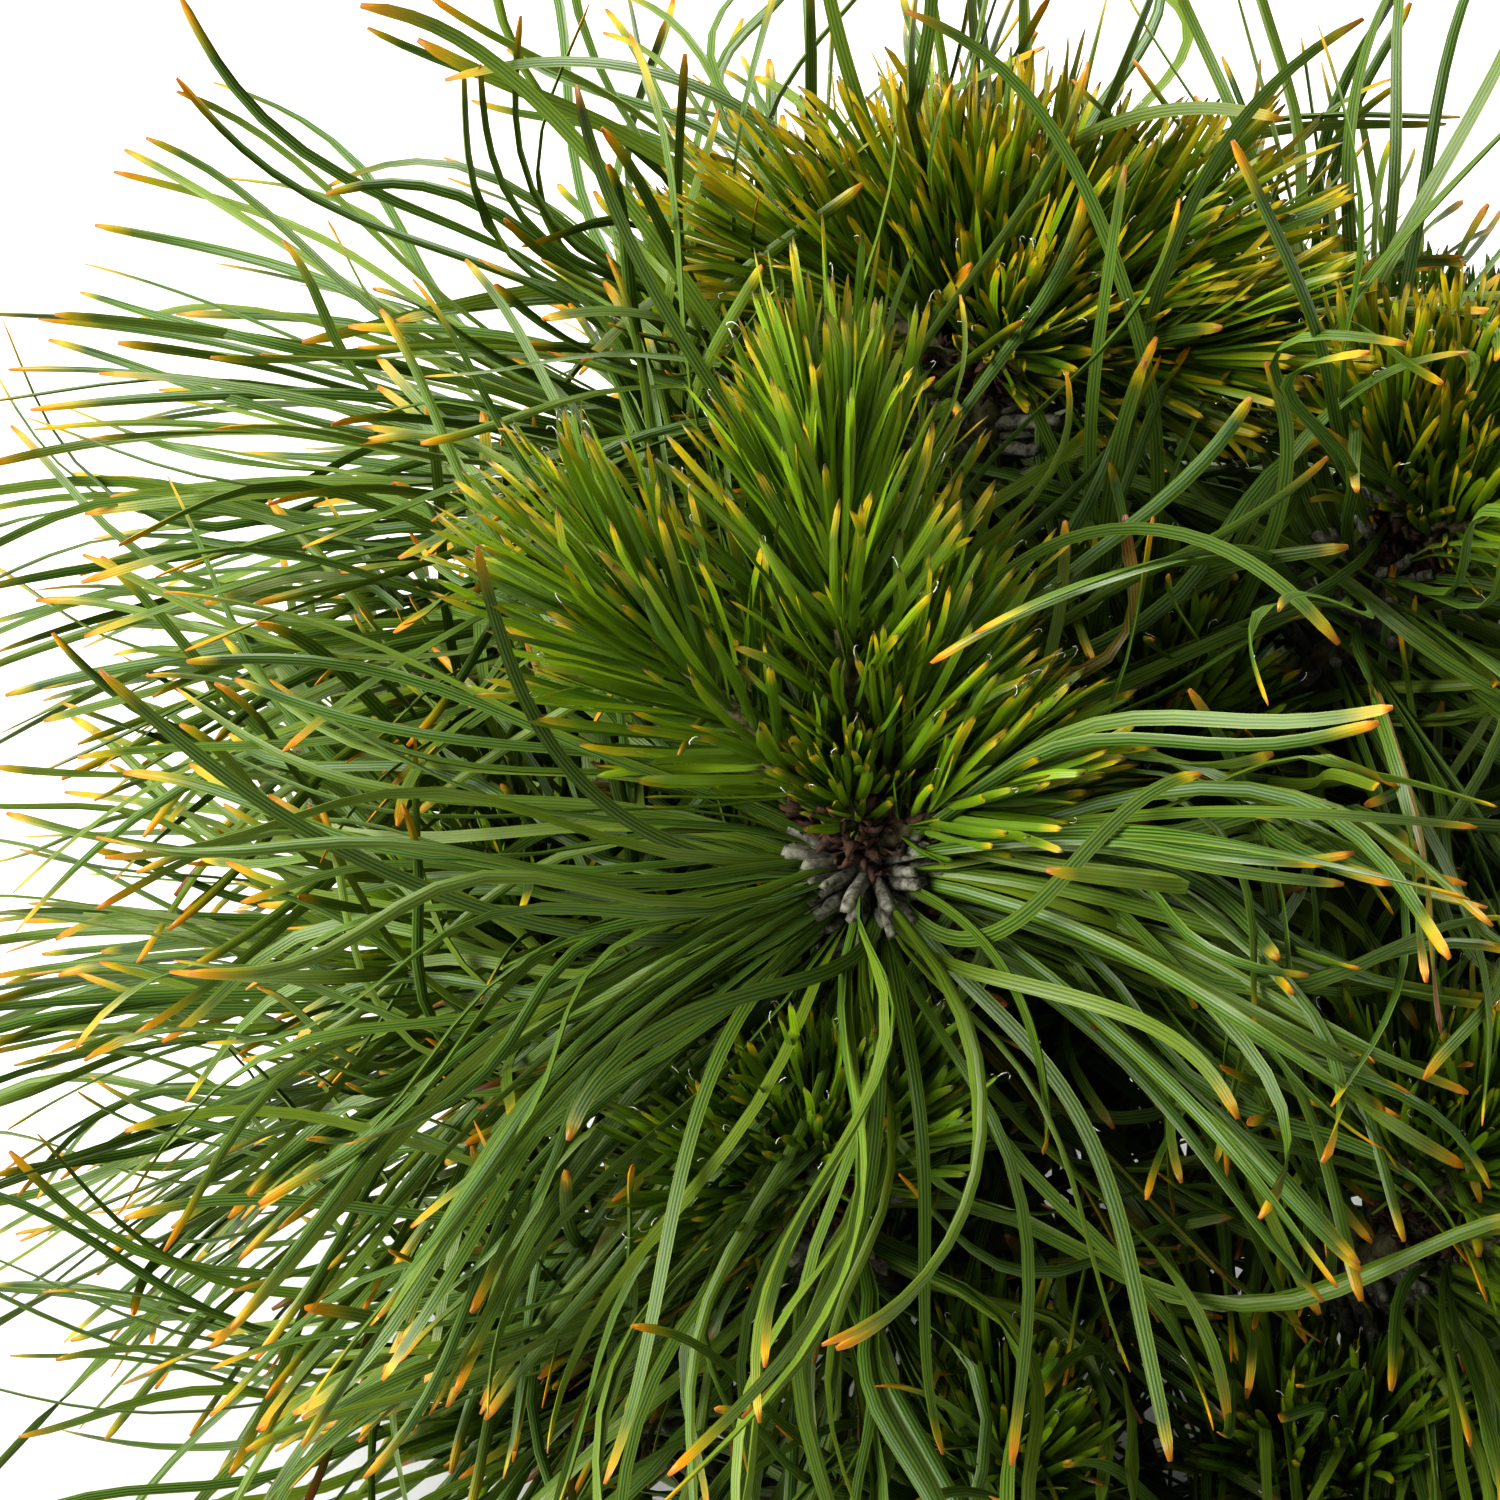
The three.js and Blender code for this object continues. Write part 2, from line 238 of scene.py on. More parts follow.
# %% The shoots
STEM_LENGTH = 27 * MM                  # from the bough's tip to the whorl above it
LEAN = math.radians(7)                 # of a shoot close to the trunk's axis
LEAN_PER_MM = math.radians(0.55)       # added for each millimetre away from it
SHOOT_LIST = [
    # name, whorl and height of the bough's root in millimetres (the top shoot is the trunk's
    # own), ring of candles, azimuth of the first one in degrees, vigour
    ("top", (-2, 21, 146), None, 4, 20, 1.0),
    ("front_left", (-15, -28, 122), 66, 3, 20, 1.0),
    ("right", (42, 8, 133), 76, 3, 60, 0.5),
    ("middle", (14, -2, 112), 87, 2, -60, 0.4),
    ("back_left", (-26, 48, 110), 70, 2, 90, 0.8),
    ("back", (18, 58, 98), 60, 2, 30, 0.9),
    ("back_right", (50, 40, 104), 46, 2, 10, 0.9),
    ("front_lower", (-19, -43, 88), 42, 2, 200, 0.5),
    ("front_right", (42, -38, 78), 38, 2, -40, 0.7),
    ("left", (-50, 4, 78), 34, 2, 170, 0.35),
    ("right_lower", (56, -4, 76), 30, 2, 0, 0.8),
    ("left_lower", (-44, -30, 46), 16, 2, 215, 0.35),
    ("front_foot", (0, -52, 46), 24, 2, -90, 0.7),
    ("front_right_foot", (34, -44, 40), 14, 2, -20, 0.7),
    ("back_right_lower", (46, 40, 56), 24, 2, 40, 0.8),
    ("back_lower", (-2, 58, 56), 17, 2, 90, 0.8),
    ("back_left_lower", (-48, 38, 60), 28, 2, 140, 0.8),
]


def place_shoot(name, whorl, root, ring, first, vigour):
    """A shoot's whorl, direction and foot in metres, from a row of the list."""
    whorl = np.array(whorl, float) * MM
    away = math.hypot(whorl[0], whorl[1])
    lean = LEAN + LEAN_PER_MM * away / MM if root else 0.0
    outward = np.array([whorl[0], whorl[1], 0]) / away
    direction = outward * math.sin(lean) + UP * math.cos(lean)
    foot = whorl - direction * STEM_LENGTH
    return {"name": name, "whorl": whorl, "direction": direction, "foot": foot, "ring": ring,
            "root": root and root * MM, "first": math.radians(first), "vigour": vigour}


shoots = [place_shoot(*row) for row in SHOOT_LIST]
print("shoots:", len(shoots))

# %% [markdown]
# ## Meshes from arrays
#
# The crown has thousands of needles. Making each as an object would be slow, so whole pieces are
# built at once: NumPy works out every vertex, and one function hands the arrays to Blender. Each
# vertex may bring a colour and its place on the needle, across and along, for the material. A
# needle's two margins are marked sharp, so that light breaks there as on the real blade, where
# smooth shading alone would show a round tube.

# %% One mesh from arrays
BAKE_COLUMNS = 64  # tints that a piece deals out, each a narrow strip of its texture map


def mesh_from(name, places, faces, colours=None, on_needle=None, column=None, section=None):
    """A mesh object from vertex places and arrays of faces, one array for each corner count.
    A needle piece also gives its section, whose outermost corners run into the sharp margins."""
    mesh = bpy.data.meshes.new(name)
    corners = np.concatenate([f.ravel() for f in faces]).astype(np.int32)
    counts = np.concatenate([np.full(len(f), f.shape[1]) for f in faces]).astype(np.int32)
    starts = np.concatenate([[0], np.cumsum(counts)[:-1]]).astype(np.int32)
    mesh.vertices.add(len(places))
    mesh.vertices.foreach_set("co", places.astype(np.float32).ravel())
    mesh.loops.add(len(corners))
    mesh.loops.foreach_set("vertex_index", corners)
    mesh.polygons.add(len(counts))
    mesh.polygons.foreach_set("loop_start", starts)
    mesh.polygons.foreach_set("use_smooth", np.ones(len(counts), bool))
    mesh.update(calc_edges=True)
    mesh.validate()
    if section is not None:
        ends = np.empty(2 * len(mesh.edges), np.int32)
        mesh.edges.foreach_get("vertices", ends)
        low, high = (ends.reshape(-1, 2) % len(section)).T
        margin = (low == high) & (np.abs(section[low, 0]) == 1)
        mesh.edges.foreach_set("use_edge_sharp", margin)
    if colours is not None:
        layer = mesh.color_attributes.new("tint", "FLOAT_COLOR", "POINT")
        rgba = np.concatenate([colours, np.ones((len(colours), 1))], axis=1)
        layer.data.foreach_set("color", rgba.astype(np.float32).ravel())
    if on_needle is not None:
        strip = (column + 0.25 + 0.5 * on_needle[:, 0]) / BAKE_COLUMNS
        strips = np.stack([strip, mix(0.02, 0.98, on_needle[:, 1])], axis=1)
        for map_name, uv in (("needle", on_needle), ("OFBake", strips)):
            layer = mesh.uv_layers.new(name=map_name)
            layer.uv.foreach_set("vector", uv[corners].astype(np.float32).ravel())
    return new_object(name, mesh)


def triangles(piece):
    """The number of triangles that a piece has."""
    piece.data.calc_loop_triangles()
    return len(piece.data.loop_triangles)


print("strips in a needle piece's map:", BAKE_COLUMNS)

# %% [markdown]
# ## Trunk and boughs
#
# Old pine bark breaks into plates with fissures between them. On younger wood the bases of
# fallen needles leave rows of small raised cushions that wind round the limb. Both are relief
# that shows against the light, so the limbs are swept as fine grids and pushed in and out,
# rather than left smooth with a bump map.
#
# A limb is a ring of points carried along a curve. The curve and the radii are those of the
# solids, and the relief only adds a few tenths of a millimetre.

# %% Sweeping a limb
TRUNK_RADIUS, TRUNK_TOP_RADIUS = 6.6 * MM, 2.9 * MM
FLARE_RADIUS, FLARE_HEIGHT = 10.5 * MM, 7 * MM
TRUNK_BEND = 6 * MM                    # its sideways bow
BOUGH_RADIUS, STEM_RADIUS = 3.5 * MM, 2.3 * MM
BOUGH_RISE = math.radians(30)          # above level, where a bough leaves the trunk
CUSHION_ROWS = 4.2 * MM                # from one row of leaf cushions to the next
PLATE_LENGTH = 11 * MM                 # of the plates of old bark
# The plates' sway and the grain across them, in radians for each metre along the limb: one wave
# in about 30 mm, and ripples of about 7 and 2.4 mm.
PLATE_SWAY, GRAIN_TURN, GRAIN_RIPPLE = 210, 900, 2600
TRUNK_RELIEF, BOUGH_RELIEF, STEM_RELIEF, CANDLE_RELIEF = 0.45 * MM, 0.3 * MM, 0.28 * MM, 0.12 * MM


def bezier(corners, shares):
    """Points on a cubic curve at shares of its run from 0 to 1."""
    a, b, c, d = [np.asarray(corner) for corner in corners]
    t = np.asarray(shares)[:, None]
    return a * (1 - t) ** 3 + b * 3 * t * (1 - t) ** 2 + c * 3 * t * t * (1 - t) + d * t ** 3


def relief(around, along, plates, depth):
    """Height of the bark: cushions on young wood, and plates with fissures as plates nears 1.
    Cushions stand in 5 rows one way round and 8 the other, as leaves do."""
    steep = 2 * math.pi / CUSHION_ROWS
    cushions = np.cos(5 * around + along * steep) * np.cos(8 * around - along * steep)
    flow = along * 2 * math.pi / PLATE_LENGTH + 1.3 * np.sin(2 * around + along * PLATE_SWAY)
    cracks = np.abs(np.sin(3 * around + 0.8 * np.sin(flow))) * np.abs(np.cos(flow / 2 + around))
    grain = 0.25 * np.sin(23 * around + along * GRAIN_TURN) * np.sin(along * GRAIN_RIPPLE)
    old = np.sqrt(cracks) - 0.55 + grain
    return depth * mix(np.clip(cushions, -0.3, 1), old * 1.5, plates)


def limb(path, radii, sides, plates, depth, across):
    """Vertices and faces of a closed limb along a path, with bark relief."""
    tangents = unit(np.gradient(path, axis=0))
    side = unit(across - tangents * (tangents @ across)[:, None])
    face = np.cross(tangents, side)
    around = np.arange(sides) * 2 * math.pi / sides
    along = np.concatenate([[0], np.cumsum(np.linalg.norm(np.diff(path, axis=0), axis=1))])
    turn, run = np.meshgrid(around, along)
    reach = radii[:, None] + relief(turn, run, plates, depth)
    rings = (path[:, None] + side[:, None] * (np.cos(turn) * reach)[..., None]
             + face[:, None] * (np.sin(turn) * reach)[..., None])
    return rings.reshape(-1, 3), tube_faces(len(path), sides)


def tube_faces(rings, sides):
    """Quads between rings of points, and a face over each end, all pointing out."""
    ring, corner = np.meshgrid(np.arange(rings - 1), np.arange(sides), indexing="ij")
    after = (corner + 1) % sides
    quads = np.stack([ring * sides + corner, ring * sides + after,
                      (ring + 1) * sides + after, (ring + 1) * sides + corner], axis=-1)
    low = np.arange(sides)[::-1][None]
    high = (np.arange(sides) + (rings - 1) * sides)[None]
    return quads.reshape(-1, 4), np.concatenate([low, high])


def joined(parts):
    """Several (vertices, (quads, ends)) parts as one set of arrays."""
    places, quads, ends = [], [], []
    used = 0
    for vertices, (sides, caps) in parts:
        places.append(vertices)
        quads.append(sides + used)
        ends.append(caps + used)
        used += len(vertices)
    return np.concatenate(places), [np.concatenate(quads), *ends]


turn, run = np.meshgrid(np.linspace(0, 2 * math.pi, 200), np.linspace(0, 40 * MM, 400))
heights = relief(turn, run, 1.0, TRUNK_RELIEF) / MM
print("old bark's relief in millimetres:", heights.min().round(2), "to", heights.max().round(2))

# %% [markdown]
# The trunk runs from its flat cut at ground level to the foot of the top shoot. It is widest at
# the root flare. Each bough leaves it a little above level and bends up to its shoot.

# %% Trunk and boughs
TRUNK_SIDES, TRUNK_RINGS = 72, 200
BOUGH_SIDES, BOUGH_RINGS = 28, 70
trunk_top = shoots[0]["foot"]  # the trunk ends in the top shoot
trunk_corners = [
    (0, 0, 0), (TRUNK_BEND, -TRUNK_BEND / 2, trunk_top[2] / 3),
    (trunk_top[0], trunk_top[1], trunk_top[2] * 2 / 3), trunk_top]
shares = np.linspace(0, 1, TRUNK_RINGS)
trunk_path = bezier(trunk_corners, shares)
flare = (FLARE_RADIUS - TRUNK_RADIUS) * np.exp(-shares * trunk_top[2] / FLARE_HEIGHT)
trunk_radii = mix(TRUNK_RADIUS, TRUNK_TOP_RADIUS, shares) + flare
trunk_plates = smooth_step(0.9, 0.5, shares)[:, None]
trunk_part = limb(trunk_path, trunk_radii, TRUNK_SIDES, trunk_plates, TRUNK_RELIEF,
                  np.array([1.0, 0, 0]))
trunk_part[0][:TRUNK_SIDES, 2] = 0.0  # the cut lies flat on the ground
trunk_part[0][:, 2] = np.maximum(trunk_part[0][:, 2], 0.0)

bough_parts, bough_paths = [], []
for shoot in shoots[1:]:
    start = trunk_path[np.searchsorted(trunk_path[:, 2], shoot["root"])]
    outward = unit((shoot["foot"] - start) * [1, 1, 0])
    reach = np.linalg.norm(shoot["foot"] - start) * 0.4
    leaving = outward * math.cos(BOUGH_RISE) + UP * math.sin(BOUGH_RISE)
    corners = [start, start + leaving * reach,
               shoot["foot"] - shoot["direction"] * reach, shoot["foot"]]
    share = np.linspace(0, 1, BOUGH_RINGS)
    radii = mix(BOUGH_RADIUS, STEM_RADIUS, share)
    plates = smooth_step(0.8, 0.1, share)[:, None] * 0.8
    path = bezier(corners, share)
    bough_paths.append(path)
    bough_parts.append(limb(path, radii, BOUGH_SIDES, plates, BOUGH_RELIEF,
                            np.cross(outward, UP)))

trunk = mesh_from("trunk_bark", *joined([trunk_part]))
boughs = mesh_from("bough_bark", *joined(bough_parts))
print("trunk and boughs:", triangles(trunk), "and", triangles(boughs), "triangles")

# %% [markdown]
# ## Stems of the shoots and candles
#
# A shoot's stem is last year's growth, still ridged by the cushions that its needles sit on. A
# candle is this year's: a slim tapering axis, green under its brown scales. Each is a small limb
# swept in the same way.

# %% Stems and candle axes
CANDLE_LENGTH = (25 * MM, 33 * MM)     # at full vigour
CANDLE_SPREAD = math.radians(44)       # of the ring from the shoot's axis
CANDLE_UPTURN = 0.25                   # how far the ring turns back upright, as a share
CANDLE_NEEDLE = (12, 20)               # millimetres, without any vigour and at full vigour
CANDLE_SHARES = [0, 0.5, 1]            # from foot to tip, and the axis's radius there
CANDLE_RADII = [1.6 * MM, 1.3 * MM, 0.5 * MM]
STEM_SIDES, STEM_RINGS = 20, 40
CANDLE_SIDES, CANDLE_RINGS = 10, 12
STEM_SUNK, STEM_PAST = 0.5 * MM, 1.5 * MM  # into the bough's tip, and past the whorl
ACROSS = [0.3, 1, 0.2]                 # a direction in which no stem or candle runs
LEADERS = {
    # candles of the two strongest shoots, which don't follow the ring: azimuth and tilt from
    # upright in degrees, length of the candle and of its needles in millimetres
    "front_left": [(166, 43, 34, 23), (112, 14, 40, 23), (50, 22, 19, 20), (-170, 16, 10, 9),
                   (-8, 48, 15, 16)],
    "top": [(172, 56, 20, 21), (135, 34, 15, 21), (90, 20, 12, 21), (35, 34, 14, 21),
            (8, 54, 22, 21), (-12, 74, 24, 19), (-60, 36, 10, 14)],
}
# How yellow each shoot's short needles are. Their tips do yellow as they grow, but the shares are
# also painted light: raised on the lit top and right shoots, and lowered as painted shade on the
# others.
YELLOWING_AND_LIGHT = {"top": 0.8, "right": 0.8, "front_left": 0.45}  # how yellow the short needles are
YELLOWING_IN_SHADE = 0.2                           # and on the other shoots
draw = np.random.default_rng(31)


def tilted(azimuth, tilt):
    """A direction at an azimuth and a tilt from upright, both in degrees."""
    azimuth, tilt = math.radians(azimuth), math.radians(tilt)
    level = np.array([math.cos(azimuth), math.sin(azimuth), 0.0])
    return level * math.sin(tilt) + UP * math.cos(tilt)


def candles_of(shoot):
    """Direction, length and needle length of each candle: one in the middle and a ring."""
    if shoot["name"] in LEADERS:
        return [(tilted(azimuth, tilt), length * MM, needle * MM)
                for azimuth, tilt, length, needle in LEADERS[shoot["name"]]]
    directions = [unit(shoot["direction"] + UP)]
    for i in range(shoot["ring"]):
        around = np.array(shoot["first"] + i * 2 * math.pi / shoot["ring"])
        side = aside(shoot["direction"], np.array(CANDLE_SPREAD), around)
        directions.append(unit(side * (1 - CANDLE_UPTURN) + UP * CANDLE_UPTURN))
    vigour = shoot["vigour"]
    return [(d, draw.uniform(*CANDLE_LENGTH) * vigour, mix(*CANDLE_NEEDLE, vigour) * MM)
            for d in directions]


stem_parts, candles = [], []
stem_radii = STEM_RADIUS * mix(1.0, 0.85, np.linspace(0, 1, STEM_RINGS))
rise = np.linspace(0, 1, CANDLE_RINGS)
candle_radii = np.interp(rise, CANDLE_SHARES, CANDLE_RADII)
for shoot in shoots:
    direction = shoot["direction"]
    along = np.linspace(-STEM_SUNK, STEM_LENGTH + STEM_PAST, STEM_RINGS)[:, None]
    stem_parts.append(limb(shoot["foot"] + along * direction, stem_radii, STEM_SIDES, 0.0,
                           STEM_RELIEF, unit(np.cross(direction, ACROSS))))
    for direction, length, needle in candles_of(shoot):
        candles.append({"foot": shoot["whorl"], "direction": direction, "length": length,
                        "needle": needle, "shoot": shoot["name"],
                        "yellowing_and_light": YELLOWING_AND_LIGHT.get(shoot["name"], YELLOWING_IN_SHADE)})
        path = shoot["whorl"] + rise[:, None] * direction * length
        stem_parts.append(limb(path, candle_radii, CANDLE_SIDES, 0.0, CANDLE_RELIEF,
                               unit(np.cross(direction, ACROSS))))

stems = mesh_from("shoot_stems", *joined(stem_parts))
print("candles:", len(candles), " stems:", triangles(stems), "triangles")

# %% [markdown]
# ## Needles
#
# A mugo pine's needles grow in pairs. Each needle is half a rod: round on the outside, nearly
# flat or slightly hollow inside, about a millimetre and a half wide, stiff but springy. It
# leaves the sheath along the shoot's slant, arches outwards, twists, and narrows to a hard
# point only in its last few millimetres.
#
# Curves with a bevel could make them, but a mesh from arrays is far quicker for thousands. One
# function works out the middle lines: the heading of each needle swings from its first direction
# to its last one, with a slow sway, a sag and now and then a curl, and adding up the headings
# gives the line. Another carries a D-shaped section along it, which turns as it goes.

# %% Middle lines of needles
# Corners of the section in half widths: margin, round outer side, margin, flat inner side.
SECTION_OLD = np.array([(1, 0), (0.6, 0.44), (-0.6, 0.44), (-1, 0), (0, -0.1)])
SECTION_NEW = np.array([(1, 0), (0, 0.6), (-1, 0), (0, -0.05)])
# Stations are shares of the length at which a needle has a ring of points.
STATIONS_OLD = np.array(
    [0, 0.08, 0.17, 0.26, 0.35, 0.43, 0.5, 0.57, 0.64, 0.7, 0.76, 0.82, 0.87, 0.91,
     0.95, 0.98, 1])
STATIONS_OLDER = STATIONS_OLD[::2]      # fewer where the needles stand deep in the crown
STATIONS_STRAY = np.linspace(0, 1, 33)  # more where a single needle turns back on itself
STATIONS_NEW = np.array([0, 0.15, 0.5, 0.8, 0.94, 1])
CURL_FROM = 0.48                        # the share of the length at which a curl sets in


def needle_lines(plan, stations):
    """Middle lines and headings of needles: arrays of needles by stations by xyz.
    A plan gives each needle's first and last direction, or its whole course of headings."""
    s = stations[None, :, None]
    heading = plan.get("course")
    if heading is None:
        heading = unit(mix(plan["first"][:, None], plan["last"][:, None], s * (2 - s)))
    heading = unit(heading - UP * plan["sag"][:, None, None] * s ** 1.3)
    wave = np.sin(2 * math.pi * (plan["waves"][:, None] * stations + plan["phase"][:, None]))
    start = np.sin(2 * math.pi * plan["phase"][:, None])
    swing = plan["sway"][:, None] * (wave - start * (1 - stations))
    swing = swing + plan["curl"][:, None] * smooth_step(CURL_FROM, 1.0, stations)
    axis = unit(np.cross(heading, plan["bend"][:, None]))
    heading = turned(heading, axis, swing)
    steps = np.diff(stations)[None, :, None] * plan["length"][:, None, None]
    moves = unit(heading[:, 1:] + heading[:, :-1]) * steps
    lines = np.concatenate([np.zeros_like(heading[:, :1]), np.cumsum(moves, axis=1)], axis=1)
    return lines + plan["root"][:, None], heading


print("rings of points on an old, an older, a stray and a new needle:",
      [len(stations) for stations in (STATIONS_OLD, STATIONS_OLDER, STATIONS_STRAY, STATIONS_NEW)])

# %% [markdown]
# A pair's two needles leave their sheath with the flat sides together and part by a few degrees.
# Each then gets its blade: a ring of points at every station, joined by quads and closed at both
# ends. Every point's place on its needle is kept too, across and along, because the paint and
# the pore lines need it.

# %% Needle blades
def paired(pair, opening):
    """Two needles for each pair, flat side to flat side, that part by an opening."""
    both = {key: np.repeat(value, 2, axis=0) for key, value in pair.items()}
    both["spin"] = both["spin"] * np.tile([1, -1], len(pair["spin"]))[:, None]
    away = np.cross(both["first"], np.cross(both["first"], both["spin"]))
    both["last"] = unit(both["last"] + unit(away) * opening)
    return both


def blades(plan, stations, section, profile, thickness):
    """Vertices, faces, places on the needle and needle numbers of a set of blades."""
    lines, heading = needle_lines(plan, stations)
    across = np.cross(heading, plan["spin"][:, None])
    turn = plan["twist"][:, None] * stations[None]
    across = turned(unit(across), heading, turn)
    face = np.cross(heading, across)
    half = plan["width"][:, None] / 2 * profile[None]
    places = (lines[:, :, None] + across[:, :, None] * (half[..., None, None] * section[:, :1])
              + face[:, :, None] * (half[..., None, None] * section[:, 1:] * thickness))
    count, rings, sides = places.shape[:3]
    quads, ends = tube_faces(rings, sides)
    step = (np.arange(count) * rings * sides)[:, None, None]
    faces = [(quads + step).reshape(-1, 4), (ends + step).reshape(-1, sides)]
    across_share = np.broadcast_to((section[:, 0] + 1) / 2, (count, rings, sides))
    along_share = np.broadcast_to(stations[None, :, None], (count, rings, sides))
    on_needle = np.stack([across_share, along_share], axis=-1).reshape(-1, 2)
    number = np.repeat(np.arange(count), rings * sides)
    return places.reshape(-1, 3), faces, on_needle, number


rings, sides = len(STATIONS_OLD), len(SECTION_OLD)
print("triangles in a long needle:", 2 * sides * (rings - 1) + 2 * (sides - 2))

# %% [markdown]
# ### Colours of the needles
#
# Last year's needles are a dull blue-green with yellowish margins, and their last centimetre
# turns through yellow to orange. This year's are a fresh yellow-green with pale tips and a dark
# point. Each needle is dealt one of a few dozen tints of its kind, and the change along it is
# painted on its vertices, because there it has a place that no pattern could find.

# %% Tints along the needles
DEAD_TINT = 0.99  # the last of a piece's tints is the dead needles'
OLD_DEEP, OLD_BLUE, OLD_WARM = linear("#193404"), linear("#294418"), linear("#626d0a")
OLD_FOOT, OLD_MARGIN = linear("#45700c"), linear("#868f18")
TIP_YELLOW, TIP_ORANGE, TIP_BROWN = linear("#ad9a08"), linear("#e68a04"), linear("#94500c")
DEAD_NEEDLE = linear("#7a3f12")
NEW_DEEP, NEW_BRIGHT = linear("#44640a"), linear("#84a00e")
NEW_FOOT, NEW_TIP, NEW_POINT = linear("#86a83a"), linear("#bfa212"), linear("#2c180c")


def old_colours(on_needle, number, tint, tip_length):
    """Linear colours of long needles, from each one's tint and length of yellow tip."""
    across, along = on_needle.T
    share, tip = tint[number][:, None], tip_length[number]
    body = np.where(share < 0.5, mix(OLD_DEEP, OLD_BLUE, share * 2),
                    mix(OLD_BLUE, OLD_WARM, share * 2 - 1))
    on_margin = (np.abs(across - 0.5) > 0.45)[:, None]
    body = mix(body, OLD_MARGIN, 0.4 * on_margin)
    body = mix(OLD_FOOT, body, smooth_step(0.0, 0.12, along)[:, None])
    left = (1 - along) / tip
    body = mix(TIP_YELLOW, body, smooth_step(0.45, 1.3, left)[:, None])
    body = mix(TIP_ORANGE, body, smooth_step(0.1, 0.55, left)[:, None])
    body = mix(TIP_BROWN, body, smooth_step(-0.05, 0.12, left)[:, None])
    dead = (tint[number] > DEAD_TINT)[:, None]
    return np.where(dead, DEAD_NEEDLE * mix(0.6, 1.2, across[:, None]), body)


def new_colours(on_needle, number, tint):
    """Linear colours of short needles, from each one's tint."""
    along = on_needle[:, 1]
    body = mix(NEW_DEEP, NEW_BRIGHT, ((tint[number] * 7) % 1)[:, None])  # as good as random
    body = mix(NEW_FOOT, body, smooth_step(0.0, 0.25, along)[:, None])
    # Where the pale tip begins, from the dealt tint: the needle's yellowing, partly painted light.
    tip_from = mix(1.0, 0.72, tint[number])
    body = mix(body, NEW_TIP, smooth_step(tip_from, tip_from + 0.12, along)[:, None])
    return mix(body, NEW_POINT, smooth_step(0.94, 0.975, along)[:, None])


print("deep, blue and warm green of the long needles, linear:",
      [colour.round(3).tolist() for colour in (OLD_DEEP, OLD_BLUE, OLD_WARM)])

# %% [markdown]
# ### Last year's long needles
#
# They stand all round the stem below the whorl. The upper pairs slant up beside the candles,
# and the lower ones arch out and hang. Neighbouring pairs follow the golden angle, like the
# solids' needles, but three soft partings gather them into loose bundles, because a ring that
# is quite even looks made. On the sunny right side needles are shorter, wider and more curled.
#
# No two shoots grow alike. The traits of an ordinary shoot are listed first, and then only what
# differs on the others: how dense they are, how far they reach, which way they are combed and on
# which side needles are lost.

# %% How the shoots differ
ORDINARY = {
    "pairs": 84,
    "least": 34, "most": 100,   # spread from the stem in degrees, of the top pair and the last
    "sag": 1.0,
    "comb": 0.4,                # how far the needles are drawn over to one side
    "towards": None,            # that side's azimuth in degrees, or away from the trunk
    "lost": 0.0,                # share of the pairs missing on one side
    "bare": -75,                # that side's azimuth in degrees
    "bare_reach": 52,           # and how far it reaches to both sides of that
    "parting": None,            # azimuth of one of the ring's three partings, or any
    "reach": 1.0,               # length against that of the other shoots' needles
    "sunny_reach": 1.0,         # and that of the needles on the sunny right side
    "upright": 0.02,            # share of the pairs that stand up among the candles
}
SPECIAL = {
    "front_left": {"pairs": 170, "least": 60, "parting": -78, "comb": 0.1, "lost": 0.95,
                   "bare": -68, "bare_reach": 26, "reach": 1.08, "sunny_reach": 0.95,
                   "upright": 0.0},
    "top": {"pairs": 70, "least": 66, "most": 102, "sag": 0.7, "comb": 0.2, "lost": 0.7,
            "bare": -90, "upright": 0.0},
    "right": {"pairs": 80, "least": 50, "most": 104, "sag": 0.8, "lost": 0.4, "bare": 225},
    "middle": {"pairs": 48, "least": 40, "sag": 0.8, "comb": 0.0, "lost": 0.92, "bare": 220,
               "upright": 0.0},
    "back_left": {"pairs": 166, "least": 40, "most": 84, "parting": 120, "sag": 0.9,
                  "comb": 0.5, "towards": 180, "reach": 1.24},
    "back_right": {"pairs": 60, "least": 50},
    "left": {"pairs": 100, "least": 40, "most": 90, "parting": 120, "sag": 0.8, "comb": 0.6,
             "towards": 178, "lost": 0.3, "reach": 1.04},
    "left_lower": {"pairs": 64},
    "front_lower": {"least": 70, "most": 104, "lost": 0.8, "bare": -10, "upright": 0.0},
    "front_right": {"lost": 0.9, "bare": 190},
    "front_foot": {"pairs": 64, "sag": 1.4, "comb": 0.9, "towards": -95, "lost": 0.9,
                   "bare": 90},
}
print("shoots with traits of their own:", len(SPECIAL), "of", len(shoots))

# %% [markdown]
# A shoot's needles are planned as pairs: where each pair is rooted, how far it spreads, how it
# sags, sways and curls. Then every pair is split in two needles, each a little different.

# %% Planning a shoot's long needles
OLD_LENGTH = (62 * MM, 84 * MM)
OLD_WIDTH = (1.15 * MM, 1.5 * MM)
OLD_ZONE = (1 * MM, 17 * MM)           # where they stand, below the whorl
ROOTED_AT = 0.6                        # of the stem's radius, so that its bark hides the root
STRAYING = 0.08                        # of a pair from the rule's angles, in radians
PARTED = 0.18                          # how far the partings push the pairs aside, in radians
FIRST_SLANT, LAST_SLANT = 0.8, 1.1     # of a needle, against the spread of its pair
LEAST_SLANT = 0.3                      # in radians, so that none leaves along the stem
UPRIGHT_SPREAD = 0.45                  # of the pairs among the candles, in radians
PAIR_OPENING = math.radians(6)
CURLED_SHARE = 0.15                    # fewer on the shady side and more on the sunny one
CURLED = 1.2                           # how far a curled needle turns, in radians
DEAD_SHARE = 0.005
GROUND_CLEARANCE = 3 * MM
OLD_PROFILE = ([0, 0.14, 0.3, 0.7, 0.85, 0.95, 0.98, 1],
               [0.5, 0.88, 1, 1, 0.94, 0.84, 0.72, 0.34])  # share of the width along a needle


